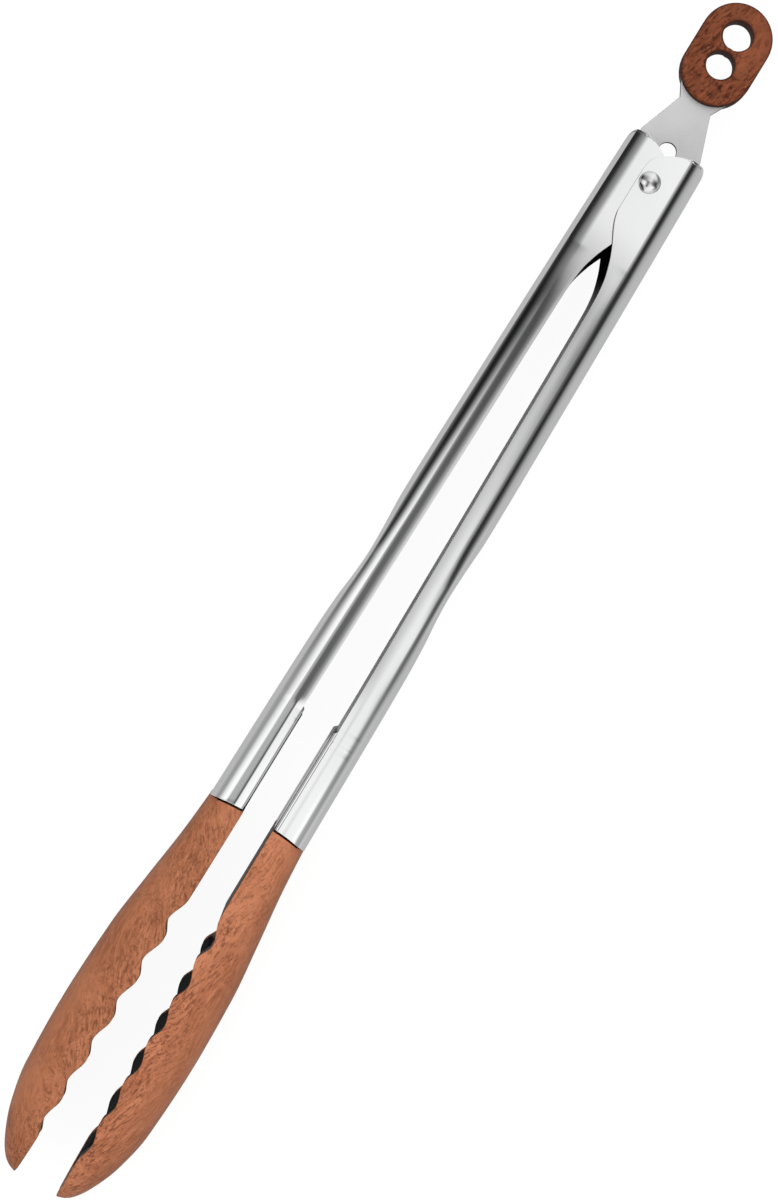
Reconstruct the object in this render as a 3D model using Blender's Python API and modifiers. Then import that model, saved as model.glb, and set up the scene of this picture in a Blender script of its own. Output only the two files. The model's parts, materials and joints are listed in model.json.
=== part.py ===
"""Spring loaded kitchen tongs with a pull-out lock.

Two stainless channel arms turn on one rivet at their back end. A torsion spring
round the rivet pushes them open. A flat lock tab slides along the middle and,
pulled out by its ring, wedges its wide shoulder between the arms' back ends.
Each arm carries a scoop head with a scalloped rim: a black core in a
wood-effect shell.

The tongs lie on their side. +Z is the pivot axis, +Y runs to the pull ring,
-Y to the tips, and the left arm is on -X. The origin is at the middle of the
resting box. Sizes are in millimetres, measured from the pivot on the middle
plane: "reach" is the distance out from the middle plane x = 0, and "along" is y.
"""

import math

import bmesh
import bpy
from mathutils import Matrix, Vector

MM = 0.001

# Layout
RING_TOP = 49.7
TIP_REACH = 270.3
HEAD_HALF_WIDTH = 14.5
PIVOT = Vector((0.0, (TIP_REACH - RING_TOP) / 2, HEAD_HALF_WIDTH)) * MM

# Fits
CLEARANCE = 0.3
STACK_GAP = 0.2

# How far the cutters run past what they cut
OVERSHOOT = 6.0
CUTTER_REACH = 20.0

# Arms
SHEET = 0.8
BEND_RADIUS = 4.3
BEND_STEPS = 5
RIGHT_HALF_WIDTH = 12.0
LEFT_HALF_WIDTH = RIGHT_HALF_WIDTH - SHEET - STACK_GAP
ARM_BACK = 9.5
ARM_FRONT = -170.2
FLANGE_LIMIT = -4.0
BACK_CORNER = (1.4, 2.6)
ARM_ROWS = 26
BACK_CORNER_STEPS = 6
JOINT_ARCH = 1.2
JOINT_ARCH_START = -146.9
SOCKET_BACK = -144.5
SOCKET_STEP = 0.4
SOCKET_LIP = 10.5
SOCKET_BEND = 2.0
LIP_OVERLAP = 1.2
LIP_SINK = 0.03
LIP_STEPS = 4

# Where the web's outer face lies: (along, reach)
WEB_LINE = [
    (9.5, 9.85), (-20.0, 10.35), (-55.4, 10.85), (-88.5, 11.2), (-98.2, 10.75),
    (-104.1, 10.6), (-109.9, 10.85), (-116.7, 11.5), (-125.5, 11.95), (-170.2, 12.65),
]
# Free edge of the flange, from the back end to the head: (along, reach)
FLANGE_LINE = [
    (9.5, 5.85), (8.1, 1.9), (6.7, -0.3), (5.6, -1.8), (4.2, -2.6), (1.9, -2.9),
    (-8.6, -2.95), (-10.9, -2.5), (-13.2, -1.55), (-16.2, 0.0), (-20.5, 1.75),
    (-25.0, 2.9), (-29.0, 3.3), (-34.0, 3.45), (-69.1, 3.9), (-111.9, 4.45),
    (-143.6, 4.85), (-144.2, 4.7), (-145.1, 4.05), (-146.3, 3.9), (-170.2, 4.0),
]

# Pivot
RIVET_RADIUS = 1.8
RIVET_HEAD_RADIUS = 2.55
RIVET_HEAD_HEIGHT = 1.3
RIVET_HEAD_LIP = 0.25
DOME_STEPS = 5
SPACER_RADIUS = 2.8
TURN_STEPS = 24

# Torsion spring
WIRE_RADIUS = 0.6
COIL_RADIUS = 4.4
COIL_TURNS = 4.5
COIL_TOP = -2.1
COIL_BOTTOM = -8.9
STEPS_PER_TURN = 14
LEG_START = (COIL_RADIUS + 0.5, -4.0)
LEG_KNEE = (8.04, -19.2)
LEG_END = (8.55, -24.0)

# Lock tab
TAB_THICKNESS = 1.0
TAB_FRONT = -6.8
TAB_FRONT_HALF = 6.2
SHOULDER_HALF = 8.0
SHOULDER_FRONT = -2.5
SHOULDER_BACK = 12.6
NECK_HALF = 4.15
NECK_ALONG = 23.4
SLOT_HALF = 2.15
SLOT_BACK = 13.1
SLOT_FRONT = -2.8

# Pull ring
RING_THICKNESS = 5.4
RING_RADIUS = 8.55
RING_BACK_CENTRE = 41.15
RING_FRONT_CENTRE = 33.0
RING_EDGE = 0.7
RING_MOUTH = 15.0
ROUND_STEPS = 14
HOLE_STEPS = 20
RING_HOLES = ((42.1, 3.55), (34.2, 3.35))
COLLAR = 0.9
TANG_FRONT = 28.5
TANG_BACK_CENTRE = 40.7
TANG_BACK_HALF = 6.9

# Heads
HEAD_BACK = ARM_FRONT - CLEARANCE
SHELL_WALL = 1.2
CORE_INSET = SHELL_WALL + CLEARANCE
HOLLOW_INSET = 3.0
HOLLOW_BACK = -198.7
HOLLOW_RUN_IN = 13.0
HOLLOW_START_DEPTH = 0.04
HOLLOW_NARROWING = 2.0
SHANK_BACK = -146.4
SHANK_FRONT = -178.3
SHANK_INSET = 1.65
SHANK_INNER = 5.1
TIP_THICKENING = 1.8
TIP_START = -217.0
TIP_RUN = 45.0
HEAD_ROWS = 17
SHANK_ROWS = 4
ARC_STEPS = 12
# How far the section's straight walls run past the rim before the rim is cut
WALL_BELOW = 4.0
ROOM_BELOW = 6.0
ROOM_RUN_OUT = 3.0
# Outer line of the head in side view: (along, reach)
HEAD_LINE = [
    (-170.2, 12.65), (-182.4, 13.6), (-196.6, 15.3), (-210.8, 16.8), (-229.2, 17.4),
    (-247.4, 16.7), (-256.8, 14.95), (-264.4, 12.05), (-268.5, 9.4), (-270.3, 6.9),
]
# Half width of the head in front view, where it is wider than the channel
HEAD_WIDTHS = [
    (-186.5, 12.6), (-201.7, 13.6), (-222.1, 14.4), (-235.3, 14.5), (-249.5, 13.7),
    (-259.7, 11.6), (-265.8, 8.6), (-269.1, 5.4), (-270.3, 2.6),
]
# Squareness of the section: 2 is an ellipse, more is a rounded rectangle
HEAD_SQUARENESS = [(-170.2, 3.1), (-182.4, 2.9), (-200.7, 2.5), (-222.1, 2.3), (-270.3, 2.1)]
# Rim through the tops of the scallops: (along, reach)
RIM_LINE = [
    (-170.2, 3.95), (-196.6, 4.15), (-217.0, 4.6), (-239.4, 4.95), (-264.8, 5.35), (-270.9, 5.5),
]
SCALLOP_PITCH = 10.7
SCALLOP_COUNT = 6
SCALLOP_FIRST = -200.0
SCALLOP_DEPTH = (1.7, 1.1)
SCALLOP_LEAN = 0.41
RIM_STEP = 1.1

# Colours: linear red, green, blue; metallic; roughness
POLISHED_STEEL = ((0.78, 0.78, 0.79), 1.0, 0.12)
MATT_STEEL = ((0.56, 0.56, 0.56), 0.9, 0.42)
SPRING_STEEL = ((0.42, 0.43, 0.44), 1.0, 0.3)
WOOD_EFFECT = ((0.46, 0.19, 0.09), 0.0, 0.5)
DARK_WOOD_EFFECT = ((0.25, 0.10, 0.055), 0.0, 0.5)
BLACK_NYLON = ((0.012, 0.011, 0.011), 0.0, 0.45)

PARTS = "kitchen_tongs"
CUTTERS = "cutters"


def clear_scene():
    """Start from an empty scene with one collection for parts and one for cutters."""
    for old in list(bpy.data.objects):
        bpy.data.objects.remove(old, do_unlink=True)
    for name in (PARTS, CUTTERS):
        bpy.context.scene.collection.children.link(bpy.data.collections.new(name))


def value_at(stations, along):
    """Read a smooth line through (along, value) stations without overshoot."""
    points = sorted(stations)
    if along <= points[0][0]:
        return points[0][1]
    if along >= points[-1][0]:
        return points[-1][1]
    slopes = [(b[1] - a[1]) / (b[0] - a[0]) for a, b in zip(points, points[1:])]
    tangents = [slopes[0]]
    for before, after in zip(slopes, slopes[1:]):
        turning = before * after <= 0.0
        tangents.append(0.0 if turning else 2.0 * before * after / (before + after))
    tangents.append(slopes[-1])
    spot = max(i for i in range(len(points) - 1) if points[i][0] <= along)
    (start, low), (end, high) = points[spot], points[spot + 1]
    span = end - start
    t = (along - start) / span
    return (
        low * (1 + 2 * t) * (1 - t) ** 2
        + high * t * t * (3 - 2 * t)
        + tangents[spot] * span * t * (1 - t) ** 2
        - tangents[spot + 1] * span * t * t * (1 - t)
    )


def material(name, finish):
    """Make a Principled material from a (colour, metallic, roughness) finish."""
    colour, metallic, roughness = finish
    made = bpy.data.materials.new(name)
    made.use_nodes = True
    shader = made.node_tree.nodes["Principled BSDF"]
    shader.inputs["Base Color"].default_value = (*colour, 1.0)
    shader.inputs["Metallic"].default_value = metallic
    shader.inputs["Roughness"].default_value = roughness
    return made


def add_object(name, data, collection):
    """Link an object whose own origin is on the pivot axis."""
    made = bpy.data.objects.new(name, data)
    made.location = PIVOT
    bpy.data.collections[collection].objects.link(made)
    if collection == CUTTERS:
        made.hide_render = True
        made.display_type = "WIRE"
    return made


def from_bmesh(name, bm, collection):
    """Turn a bmesh modelled in millimetres into an object in metres."""
    bmesh.ops.scale(bm, vec=(MM, MM, MM), verts=bm.verts)
    bmesh.ops.recalc_face_normals(bm, faces=bm.faces)
    mesh = bpy.data.meshes.new(name)
    bm.to_mesh(mesh)
    bm.free()
    return add_object(name, mesh, collection)


def finish_part(part, finish, sharp_degrees=32.0):
    """Give a part its material and smooth shading with sharp edges kept."""
    part.data.materials.clear()
    part.data.materials.append(material(part.name, finish))
    part.data.shade_smooth()
    part.data.set_sharp_from_angle(angle=math.radians(sharp_degrees))
    return part


def apply_boolean(target, tool, operation):
    """Cut or join with an exact boolean that stays on the target."""
    step = target.modifiers.new(operation.title() + "_" + tool.name, "BOOLEAN")
    step.operation = operation
    step.solver = "EXACT"
    step.object = tool


def outline_solid(name, loops, low, high, collection):
    """Fill flat closed loops of (x, y) points and extrude them from z low to high."""
    curve = bpy.data.curves.new(name, "CURVE")
    curve.dimensions = "2D"
    curve.fill_mode = "BOTH"
    curve.extrude = (high - low) / 2 * MM
    for loop in loops:
        spline = curve.splines.new("POLY")
        spline.points.add(len(loop) - 1)
        spline.use_cyclic_u = True
        for point, (x, y) in zip(spline.points, loop):
            point.co = (x * MM, y * MM, 0.0, 1.0)
    made = mesh_from_curve(name, curve, collection)
    made.data.transform(Matrix.Translation((0.0, 0.0, (low + high) / 2 * MM)))
    return made


def mesh_from_curve(name, curve, collection):
    """Evaluate a curve to a welded mesh object and drop the curve."""
    guide = bpy.data.objects.new(name + "_guide", curve)
    bpy.data.collections[collection].objects.link(guide)
    bpy.context.view_layer.update()
    evaluated = guide.evaluated_get(bpy.context.evaluated_depsgraph_get())
    mesh = bpy.data.meshes.new_from_object(evaluated)
    mesh.name = name
    bpy.data.objects.remove(guide, do_unlink=True)
    bm = bmesh.new()
    bm.from_mesh(mesh)
    bmesh.ops.remove_doubles(bm, verts=bm.verts, dist=0.000005)
    bmesh.ops.recalc_face_normals(bm, faces=bm.faces)
    bm.to_mesh(mesh)
    bm.free()
    return add_object(name, mesh, collection)


def turned(name, profile, collection):
    """Turn an (radius, height) profile, listed top to bottom, round the pivot axis."""
    bm = bmesh.new()
    verts = [bm.verts.new((radius, 0.0, height)) for radius, height in profile]
    for upper, lower in zip(verts, verts[1:]):
        bm.edges.new((upper, lower))
    if profile[0][0] > 0.0:
        bm.edges.new((verts[-1], verts[0]))
    bmesh.ops.scale(bm, vec=(MM, MM, MM), verts=bm.verts)
    mesh = bpy.data.meshes.new(name)
    bm.to_mesh(mesh)
    bm.free()
    made = add_object(name, mesh, collection)
    screw = made.modifiers.new("Turn", "SCREW")
    screw.steps = TURN_STEPS
    screw.render_steps = TURN_STEPS
    screw.use_merge_vertices = True
    screw.merge_threshold = 0.00001
    return made


def cylinder(name, radius, collection):
    """Long upright cylinder on the pivot axis."""
    bm = bmesh.new()
    bmesh.ops.create_cone(
        bm, cap_ends=True, segments=TURN_STEPS, radius1=radius, radius2=radius, depth=2 * CUTTER_REACH
    )
    return from_bmesh(name, bm, collection)


def arc(centre, radii, start_degrees, end_degrees, steps):
    """Points on an ellipse's arc, both ends included."""
    points = []
    for i in range(steps + 1):
        angle = math.radians(start_degrees + (end_degrees - start_degrees) * i / steps)
        points.append((centre[0] + radii[0] * math.cos(angle), centre[1] + radii[1] * math.sin(angle)))
    return points


def rows_along(start, end, count):
    """Evenly spaced places from start to end."""
    return [start + (end - start) * i / count for i in range(count + 1)]


def joint_arch(reach):
    """How much further the steel's front end runs at a given reach."""
    share = (reach - WEB_LINE[-1][1]) / (RIM_LINE[0][1] - WEB_LINE[-1][1])
    return -JOINT_ARCH * (1.0 - share) ** 2


# ---------------------------------------------------------------- arms

def channel_section(half_width, web):
    """Points of a U section from one flange edge round the web to the other."""
    centre = (web - BEND_RADIUS, half_width - BEND_RADIUS)
    near_bend = arc(centre, (BEND_RADIUS, BEND_RADIUS), 90, 0, BEND_STEPS)
    far_bend = [(reach, -height) for reach, height in reversed(near_bend)]
    return [(FLANGE_LIMIT, half_width)] + near_bend + far_bend + [(FLANGE_LIMIT, -half_width)]


def flange_cutter(name, side):
    """Everything inside the flange's free edge, to be cut from the channel."""
    edge = [(value_at(FLANGE_LINE, along), along) for along in edge_places() if along > SOCKET_BACK]
    edge[0] = (edge[0][0], ARM_BACK + OVERSHOOT)
    edge.insert(1, (edge[0][0], ARM_BACK))
    folded = FLANGE_LINE[-1][1] + SOCKET_BEND + LIP_OVERLAP / 2
    edge += [(folded, SOCKET_BACK - SOCKET_STEP), (folded, ARM_FRONT - OVERSHOOT)]
    inside = FLANGE_LIMIT - OVERSHOOT
    edge += [(inside, ARM_FRONT - OVERSHOOT), (inside, ARM_BACK + OVERSHOOT)]
    loop = [(side * reach, along) for reach, along in edge]
    return outline_solid(name, [loop], -CUTTER_REACH, CUTTER_REACH, CUTTERS)


def edge_places():
    """Places along the flange edge: its stations, and one between each close pair."""
    stations = [along for along, _ in FLANGE_LINE]
    places = []
    for back, front in zip(stations, stations[1:]):
        places.append(back)
        places.append((back + front) / 2)
    places.append(stations[-1])
    return places


def back_corner_cutter(name, side):
    """Rounds the outer corner at the arm's back end."""
    reach = value_at(WEB_LINE, ARM_BACK)
    centre = (reach - BACK_CORNER[0], ARM_BACK - BACK_CORNER[1])
    round_edge = arc(centre, BACK_CORNER, 90, 0, BACK_CORNER_STEPS)
    round_edge[-1] = (reach + CLEARANCE, centre[1])
    far_reach = reach + OVERSHOOT
    far_back = ARM_BACK + OVERSHOOT
    outside = [(far_reach, centre[1]), (far_reach, far_back), (centre[0], far_back)]
    loop = [(side * x, y) for x, y in round_edge + outside]
    return outline_solid(name, [loop], -CUTTER_REACH, CUTTER_REACH, CUTTERS)


def arched(along, reach):
    """Place along the arm once its front end is arched."""
    share = max(JOINT_ARCH_START - along, 0.0) / (JOINT_ARCH_START - ARM_FRONT)
    return along + share * joint_arch(reach)


def build_lip(name, side, half_width, face):
    """Strip folded in from one flange at the socket, which closes it round the shank."""
    inner = FLANGE_LINE[-1][1]
    outer_face = half_width - LIP_SINK
    thin = SHEET - 2 * LIP_SINK
    join = inner + SOCKET_BEND + LIP_OVERLAP
    centre = (inner + SOCKET_BEND, outer_face - SOCKET_BEND)
    outer_bend = (SOCKET_BEND, SOCKET_BEND)
    inner_bend = (SOCKET_BEND - thin, SOCKET_BEND - thin)
    edge = outer_face - SOCKET_LIP
    outer_arc = arc(centre, outer_bend, 90, 180, LIP_STEPS)
    inner_arc = arc(centre, inner_bend, 180, 90, LIP_STEPS)
    outside = [(join, outer_face)] + outer_arc + [(inner, edge)]
    inside = [(inner + thin, edge)] + inner_arc + [(join, outer_face - thin)]
    loops = []
    for along in (SOCKET_BACK, ARM_FRONT):
        loops.append([(x, arched(along, x), face * z) for x, z in outside + inside])
    return loft(name, side, loops, CUTTERS)


def build_arm(name, side, half_width):
    """Pressed channel arm: a bent sheet, trimmed to its ears and socket."""
    places = rows_along(ARM_BACK, ARM_FRONT, ARM_ROWS)
    columns = len(channel_section(half_width, 0.0)) - 1
    bm = bmesh.new()
    bmesh.ops.create_grid(bm, x_segments=columns, y_segments=ARM_ROWS, size=1.0)
    for vert in bm.verts:
        column = round((vert.co.x + 1) / 2 * columns)
        along = places[round((vert.co.y + 1) / 2 * ARM_ROWS)]
        reach, height = channel_section(half_width, value_at(WEB_LINE, along))[column]
        vert.co = (side * reach, arched(along, reach), height)
    middle = max(bm.faces, key=lambda face: side * face.calc_center_median().x)
    middle.normal_update()
    if middle.normal.x * side < 0:
        bmesh.ops.reverse_faces(bm, faces=bm.faces)
    bmesh.ops.scale(bm, vec=(MM, MM, MM), verts=bm.verts)
    mesh = bpy.data.meshes.new(name)
    bm.to_mesh(mesh)
    bm.free()
    arm = add_object(name, mesh, PARTS)
    sheet = arm.modifiers.new("Sheet", "SOLIDIFY")
    sheet.thickness = SHEET * MM
    sheet.offset = -1.0
    sheet.use_even_offset = True
    hole = cylinder(name + "_rivet_hole", RIVET_RADIUS + CLEARANCE, CUTTERS)
    apply_boolean(arm, flange_cutter(name + "_flange_edge", side), "DIFFERENCE")
    apply_boolean(arm, back_corner_cutter(name + "_back_corner", side), "DIFFERENCE")
    apply_boolean(arm, hole, "DIFFERENCE")
    for face, place in ((1, "_upper_lip"), (-1, "_lower_lip")):
        apply_boolean(arm, build_lip(name + place, side, half_width, face), "UNION")
    return finish_part(arm, POLISHED_STEEL)


# ---------------------------------------------------------------- pivot

def build_rivet():
    """Pivot rivet: shank with a dome at each end."""
    seat = RIGHT_HALF_WIDTH + STACK_GAP
    dome_radii = (RIVET_HEAD_RADIUS, RIVET_HEAD_HEIGHT - RIVET_HEAD_LIP)
    top_dome = arc((0.0, seat + RIVET_HEAD_LIP), dome_radii, 90, 0, DOME_STEPS)
    top_dome[0] = (0.0, seat + RIVET_HEAD_HEIGHT)
    half = top_dome + [(RIVET_HEAD_RADIUS, seat), (RIVET_RADIUS, seat)]
    profile = half + [(radius, -height) for radius, height in reversed(half)]
    return finish_part(turned("pivot_rivet", profile, PARTS), POLISHED_STEEL)


def build_spacer(name, low, high):
    """Spacer tube that turns freely on the rivet."""
    bore = RIVET_RADIUS + CLEARANCE
    profile = [(bore, high), (SPACER_RADIUS, high), (SPACER_RADIUS, low), (bore, low)]
    return finish_part(turned(name, profile, PARTS), MATT_STEEL)


def spring_path():
    """Centre line of the wire: left leg, coil, right leg."""
    steps = round(COIL_TURNS * STEPS_PER_TURN)
    left_leg = [Vector((-reach, along, COIL_TOP)) for reach, along in (LEG_END, LEG_KNEE, LEG_START)]
    right_leg = [Vector((reach, along, COIL_BOTTOM)) for reach, along in (LEG_START, LEG_KNEE, LEG_END)]
    coil = []
    for i in range(steps + 1):
        angle = math.pi - 2 * math.pi * COIL_TURNS * i / steps
        height = COIL_TOP + (COIL_BOTTOM - COIL_TOP) * i / steps
        coil.append(Vector((COIL_RADIUS * math.cos(angle), COIL_RADIUS * math.sin(angle), height)))
    return left_leg + coil + right_leg


def build_spring():
    """Torsion spring: a coil on the lower spacer with a leg down each arm."""
    curve = bpy.data.curves.new("torsion_spring", "CURVE")
    curve.dimensions = "3D"
    curve.bevel_depth = WIRE_RADIUS * MM
    curve.bevel_resolution = 2
    curve.use_fill_caps = True
    path = spring_path()
    spline = curve.splines.new("POLY")
    spline.points.add(len(path) - 1)
    for point, place in zip(spline.points, path):
        point.co = (*(place * MM), 1.0)
    return finish_part(mesh_from_curve("torsion_spring", curve, PARTS), SPRING_STEEL, 60.0)


# ---------------------------------------------------------------- lock tab and ring

def slot_loop():
    """Round-ended slot that rides on the rivet."""
    radii = (SLOT_HALF, SLOT_HALF)
    back = arc((0.0, SLOT_BACK - SLOT_HALF), radii, 0, 180, ROUND_STEPS)
    front = arc((0.0, SLOT_FRONT + SLOT_HALF), radii, 180, 360, ROUND_STEPS)
    return back + front


def tang_outline(grow):
    """Upper end of the tab, above its neck, that the ring closes on."""
    half = TANG_BACK_HALF + grow
    neck = NECK_HALF + grow
    back = arc((0.0, TANG_BACK_CENTRE), (half, half), 0, 180, ROUND_STEPS)
    front = TANG_FRONT - grow
    return [(neck, NECK_ALONG), (half, front)] + back + [(-half, front), (-neck, NECK_ALONG)]


def tab_outline():
    """Whole edge of the lock tab: front end, shoulder, neck and tang."""
    right = [(TAB_FRONT_HALF, TAB_FRONT), (SHOULDER_HALF, SHOULDER_FRONT), (SHOULDER_HALF, SHOULDER_BACK)]
    left = [(-x, y) for x, y in reversed(right)]
    return right + tang_outline(0.0) + left


def hole_loops():
    """The two hanging holes."""
    last = 360 - 360 / HOLE_STEPS
    return [arc((0.0, along), (radius, radius), 0, last, HOLE_STEPS - 1) for along, radius in RING_HOLES]


def build_tab():
    """Flat lock tab with its slot and two holes."""
    half = TAB_THICKNESS / 2
    loops = [tab_outline(), slot_loop(), joined_holes(COLLAR + CLEARANCE)]
    return finish_part(outline_solid("lock_tab", loops, -half, half, PARTS), MATT_STEEL)


def joined_holes(grow):
    """Outline round both hanging holes at once."""
    (back, back_radius), (front, front_radius) = RING_HOLES
    upper = arc((0.0, back), (back_radius + grow, back_radius + grow), 0, 180, ROUND_STEPS)
    lower = arc((0.0, front), (front_radius + grow, front_radius + grow), 180, 360, ROUND_STEPS)
    return upper + lower


def ring_blank(name):
    """Long rounded plate with softened edges and two hanging holes."""
    half = RING_THICKNESS / 2
    back = arc((0.0, RING_BACK_CENTRE), (RING_RADIUS, RING_RADIUS), 0, 180, ROUND_STEPS)
    front = arc((0.0, RING_FRONT_CENTRE), (RING_RADIUS, RING_RADIUS), 180, 360, ROUND_STEPS)
    return outline_solid(name, [back + front] + hole_loops(), -half, half, PARTS)


def build_ring_half(name, side):
    """One half of the pull ring, hollowed for the tang."""
    ring = ring_blank(name)
    edge = ring.modifiers.new("Soft edge", "BEVEL")
    edge.width = RING_EDGE * MM
    edge.segments = 3
    edge.limit_method = "ANGLE"
    edge.angle_limit = math.radians(60)
    half = RING_THICKNESS
    low, high = (-half, STACK_GAP / 2) if side > 0 else (-STACK_GAP / 2, half)
    far_back = RING_TOP + OVERSHOOT
    front_edge = [(-CUTTER_REACH, RING_MOUTH), (CUTTER_REACH, RING_MOUTH)]
    square = front_edge + [(CUTTER_REACH, far_back), (-CUTTER_REACH, far_back)]
    other_half = outline_solid(name + "_other_half", [square], low, high, CUTTERS)
    pocket_half = TAB_THICKNESS / 2 + STACK_GAP
    pocket_loops = [pocket_outline(), joined_holes(COLLAR)]
    pocket = outline_solid(name + "_pocket", pocket_loops, -pocket_half, pocket_half, CUTTERS)
    apply_boolean(ring, other_half, "DIFFERENCE")
    apply_boolean(ring, pocket, "DIFFERENCE")
    return finish_part(ring, DARK_WOOD_EFFECT)


def pocket_outline():
    """Room for the tang, open at the ring's front."""
    mouth = [(-NECK_HALF - CLEARANCE, RING_MOUTH), (NECK_HALF + CLEARANCE, RING_MOUTH)]
    return mouth + tang_outline(CLEARANCE)


# ---------------------------------------------------------------- heads

def scallop(along):
    """How deep the rim is cut at a place: 0 on a scallop's top, 1 in its valley."""
    first_top = SCALLOP_FIRST + SCALLOP_PITCH * (1 - SCALLOP_LEAN)
    last_top = SCALLOP_FIRST - SCALLOP_PITCH * (SCALLOP_COUNT - 1 + SCALLOP_LEAN)
    if along > first_top or along < last_top:
        return 0.0
    phase = ((SCALLOP_FIRST - along) / SCALLOP_PITCH) % 1.0
    if phase < SCALLOP_LEAN:
        turn = 0.5 * phase / SCALLOP_LEAN
    else:
        turn = 0.5 + 0.5 * (phase - SCALLOP_LEAN) / (1 - SCALLOP_LEAN)
    return 0.5 + 0.5 * math.cos(2 * math.pi * turn)


def rim_reach(along):
    """Reach of the rim, scallops included."""
    share = (SCALLOP_FIRST - along) / (SCALLOP_PITCH * SCALLOP_COUNT)
    depth = SCALLOP_DEPTH[0] + (SCALLOP_DEPTH[1] - SCALLOP_DEPTH[0]) * min(max(share, 0.0), 1.0)
    return value_at(RIM_LINE, along) + depth * scallop(along)


def rim_cutter(name, side):
    """Everything on the inner side of the scalloped rim."""
    back = HEAD_BACK + OVERSHOOT
    front = -TIP_REACH - OVERSHOOT
    count = round((back - front) / RIM_STEP)
    inside = side * (FLANGE_LIMIT - OVERSHOOT)
    edge = [(side * rim_reach(along), along) for along in rows_along(back, front, count)]
    edge += [(inside, front), (inside, back)]
    return outline_solid(name, [edge], -CUTTER_REACH, CUTTER_REACH, CUTTERS)


def head_section(along, half_width, inset, depth_share, below):
    """Closed loop of a head's section: a rounded hump on straight walls."""
    squareness = value_at(HEAD_SQUARENESS, along)
    base = value_at(RIM_LINE, along)
    depth = max((value_at(HEAD_LINE, along) - inset - base) * depth_share, 0.05)
    width = max(half_width - inset, 0.05)
    arch = [(x, along, z) for x, z in hump(base, depth, width, squareness)]
    return [(base - below, along, -width)] + arch + [(base - below, along, width)]


def hump(base, depth, width, squareness):
    """Half of a rounded rectangle or ellipse, standing on the line x = base."""
    points = []
    for i in range(ARC_STEPS + 1):
        angle = math.pi * (i / ARC_STEPS - 0.5)
        out = abs(math.cos(angle)) ** (2 / squareness)
        across = math.copysign(abs(math.sin(angle)) ** (2 / squareness), angle)
        points.append((base + depth * out, width * across))
    return points


def head_places(start, end):
    """Section places, closer together towards the tip."""
    shares = [1 - (1 - i / HEAD_ROWS) ** 1.5 for i in range(HEAD_ROWS + 1)]
    return [start + (end - start) * share for share in shares]


def loft(name, side, loops, collection):
    """Bridge section loops into one closed body."""
    bm = bmesh.new()
    rings = [[bm.verts.new((side * x, y, z)) for x, y, z in loop] for loop in loops]
    for ring, following in zip(rings, rings[1:]):
        for i in range(len(ring)):
            j = (i + 1) % len(ring)
            bm.faces.new((ring[i], ring[j], following[j], following[i]))
    bm.faces.new(rings[0])
    bm.faces.new(rings[-1])
    return from_bmesh(name, bm, collection)


def head_body(name, side, neck_half, inset, run_out, below, collection):
    """Head-shaped body, smaller all round by inset, with a straight run-out at its back."""
    widths = [(HEAD_BACK, neck_half)] + HEAD_WIDTHS
    loops = []
    setback = inset * TIP_THICKENING
    for along in head_places(HEAD_BACK, -TIP_REACH + setback):
        scaled = along - setback * tip_share(along)
        section = head_section(scaled, value_at(widths, scaled), inset, 1.0, below)
        loops.append([(x, along, z) for x, _, z in section])
    loops[0] = [(x, y + joint_arch(x), z) for x, y, z in loops[0]]
    if run_out:
        loops.insert(0, [(x, y + run_out, z) for x, y, z in loops[0]])
    return loft(name, side, loops, collection)


def tip_share(along):
    """Share of an inset that acts along the head: 0 in the neck, 1 at the tip."""
    return min(max((TIP_START - along) / TIP_RUN, 0.0), 1.0)


def hollow_body(name, side, neck_half):
    """The scoop's hollow: shallow at its back, then one wall thickness inside."""
    widths = [(HEAD_BACK, neck_half)] + HEAD_WIDTHS
    loops = []
    setback = HOLLOW_INSET * TIP_THICKENING
    for along in head_places(HOLLOW_BACK, -TIP_REACH + setback):
        share = min((HOLLOW_BACK - along) / HOLLOW_RUN_IN, 1.0)
        depth_share = HOLLOW_START_DEPTH + (1 - HOLLOW_START_DEPTH) * math.sin(share * math.pi / 2)
        scaled = along - setback * tip_share(along)
        inset = HOLLOW_INSET + HOLLOW_NARROWING * (1 - share)
        section = head_section(scaled, value_at(widths, scaled), inset, depth_share, 2 * WALL_BELOW)
        loops.append([(x, along, z) for x, _, z in section])
    return loft(name, side, loops, CUTTERS)


def shank_body(name, side, channel_half):
    """Block that fills the arm's socket and runs into the head's neck."""
    loops = []
    half = channel_half - SHANK_INSET
    squareness = HEAD_SQUARENESS[0][1]
    for along in rows_along(SHANK_BACK, SHANK_FRONT, SHANK_ROWS):
        depth = value_at(WEB_LINE, max(along, ARM_FRONT)) - SHANK_INSET - SHANK_INNER
        loops.append([(x, along, z) for x, z in hump(SHANK_INNER, depth, half, squareness)])
    return loft(name, side, loops, CUTTERS)


def build_head(name, side, channel_half):
    """Scoop head: wood-effect shell outside, black core and shank inside."""
    shell = head_body(name + "_shell", side, channel_half, 0.0, 0.0, WALL_BELOW, PARTS)
    room = head_body(name + "_shell_room", side, channel_half, SHELL_WALL, ROOM_RUN_OUT, ROOM_BELOW, CUTTERS)
    rim = rim_cutter(name + "_rim", side)
    apply_boolean(shell, room, "DIFFERENCE")
    apply_boolean(shell, rim, "DIFFERENCE")
    core = head_body(name + "_core", side, channel_half, CORE_INSET, 0.0, WALL_BELOW, PARTS)
    apply_boolean(core, rim, "DIFFERENCE")
    apply_boolean(core, shank_body(name + "_shank", side, channel_half), "UNION")
    apply_boolean(core, hollow_body(name + "_hollow", side, channel_half), "DIFFERENCE")
    finish_part(shell, WOOD_EFFECT, 40.0)
    finish_part(core, BLACK_NYLON, 40.0)


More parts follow.
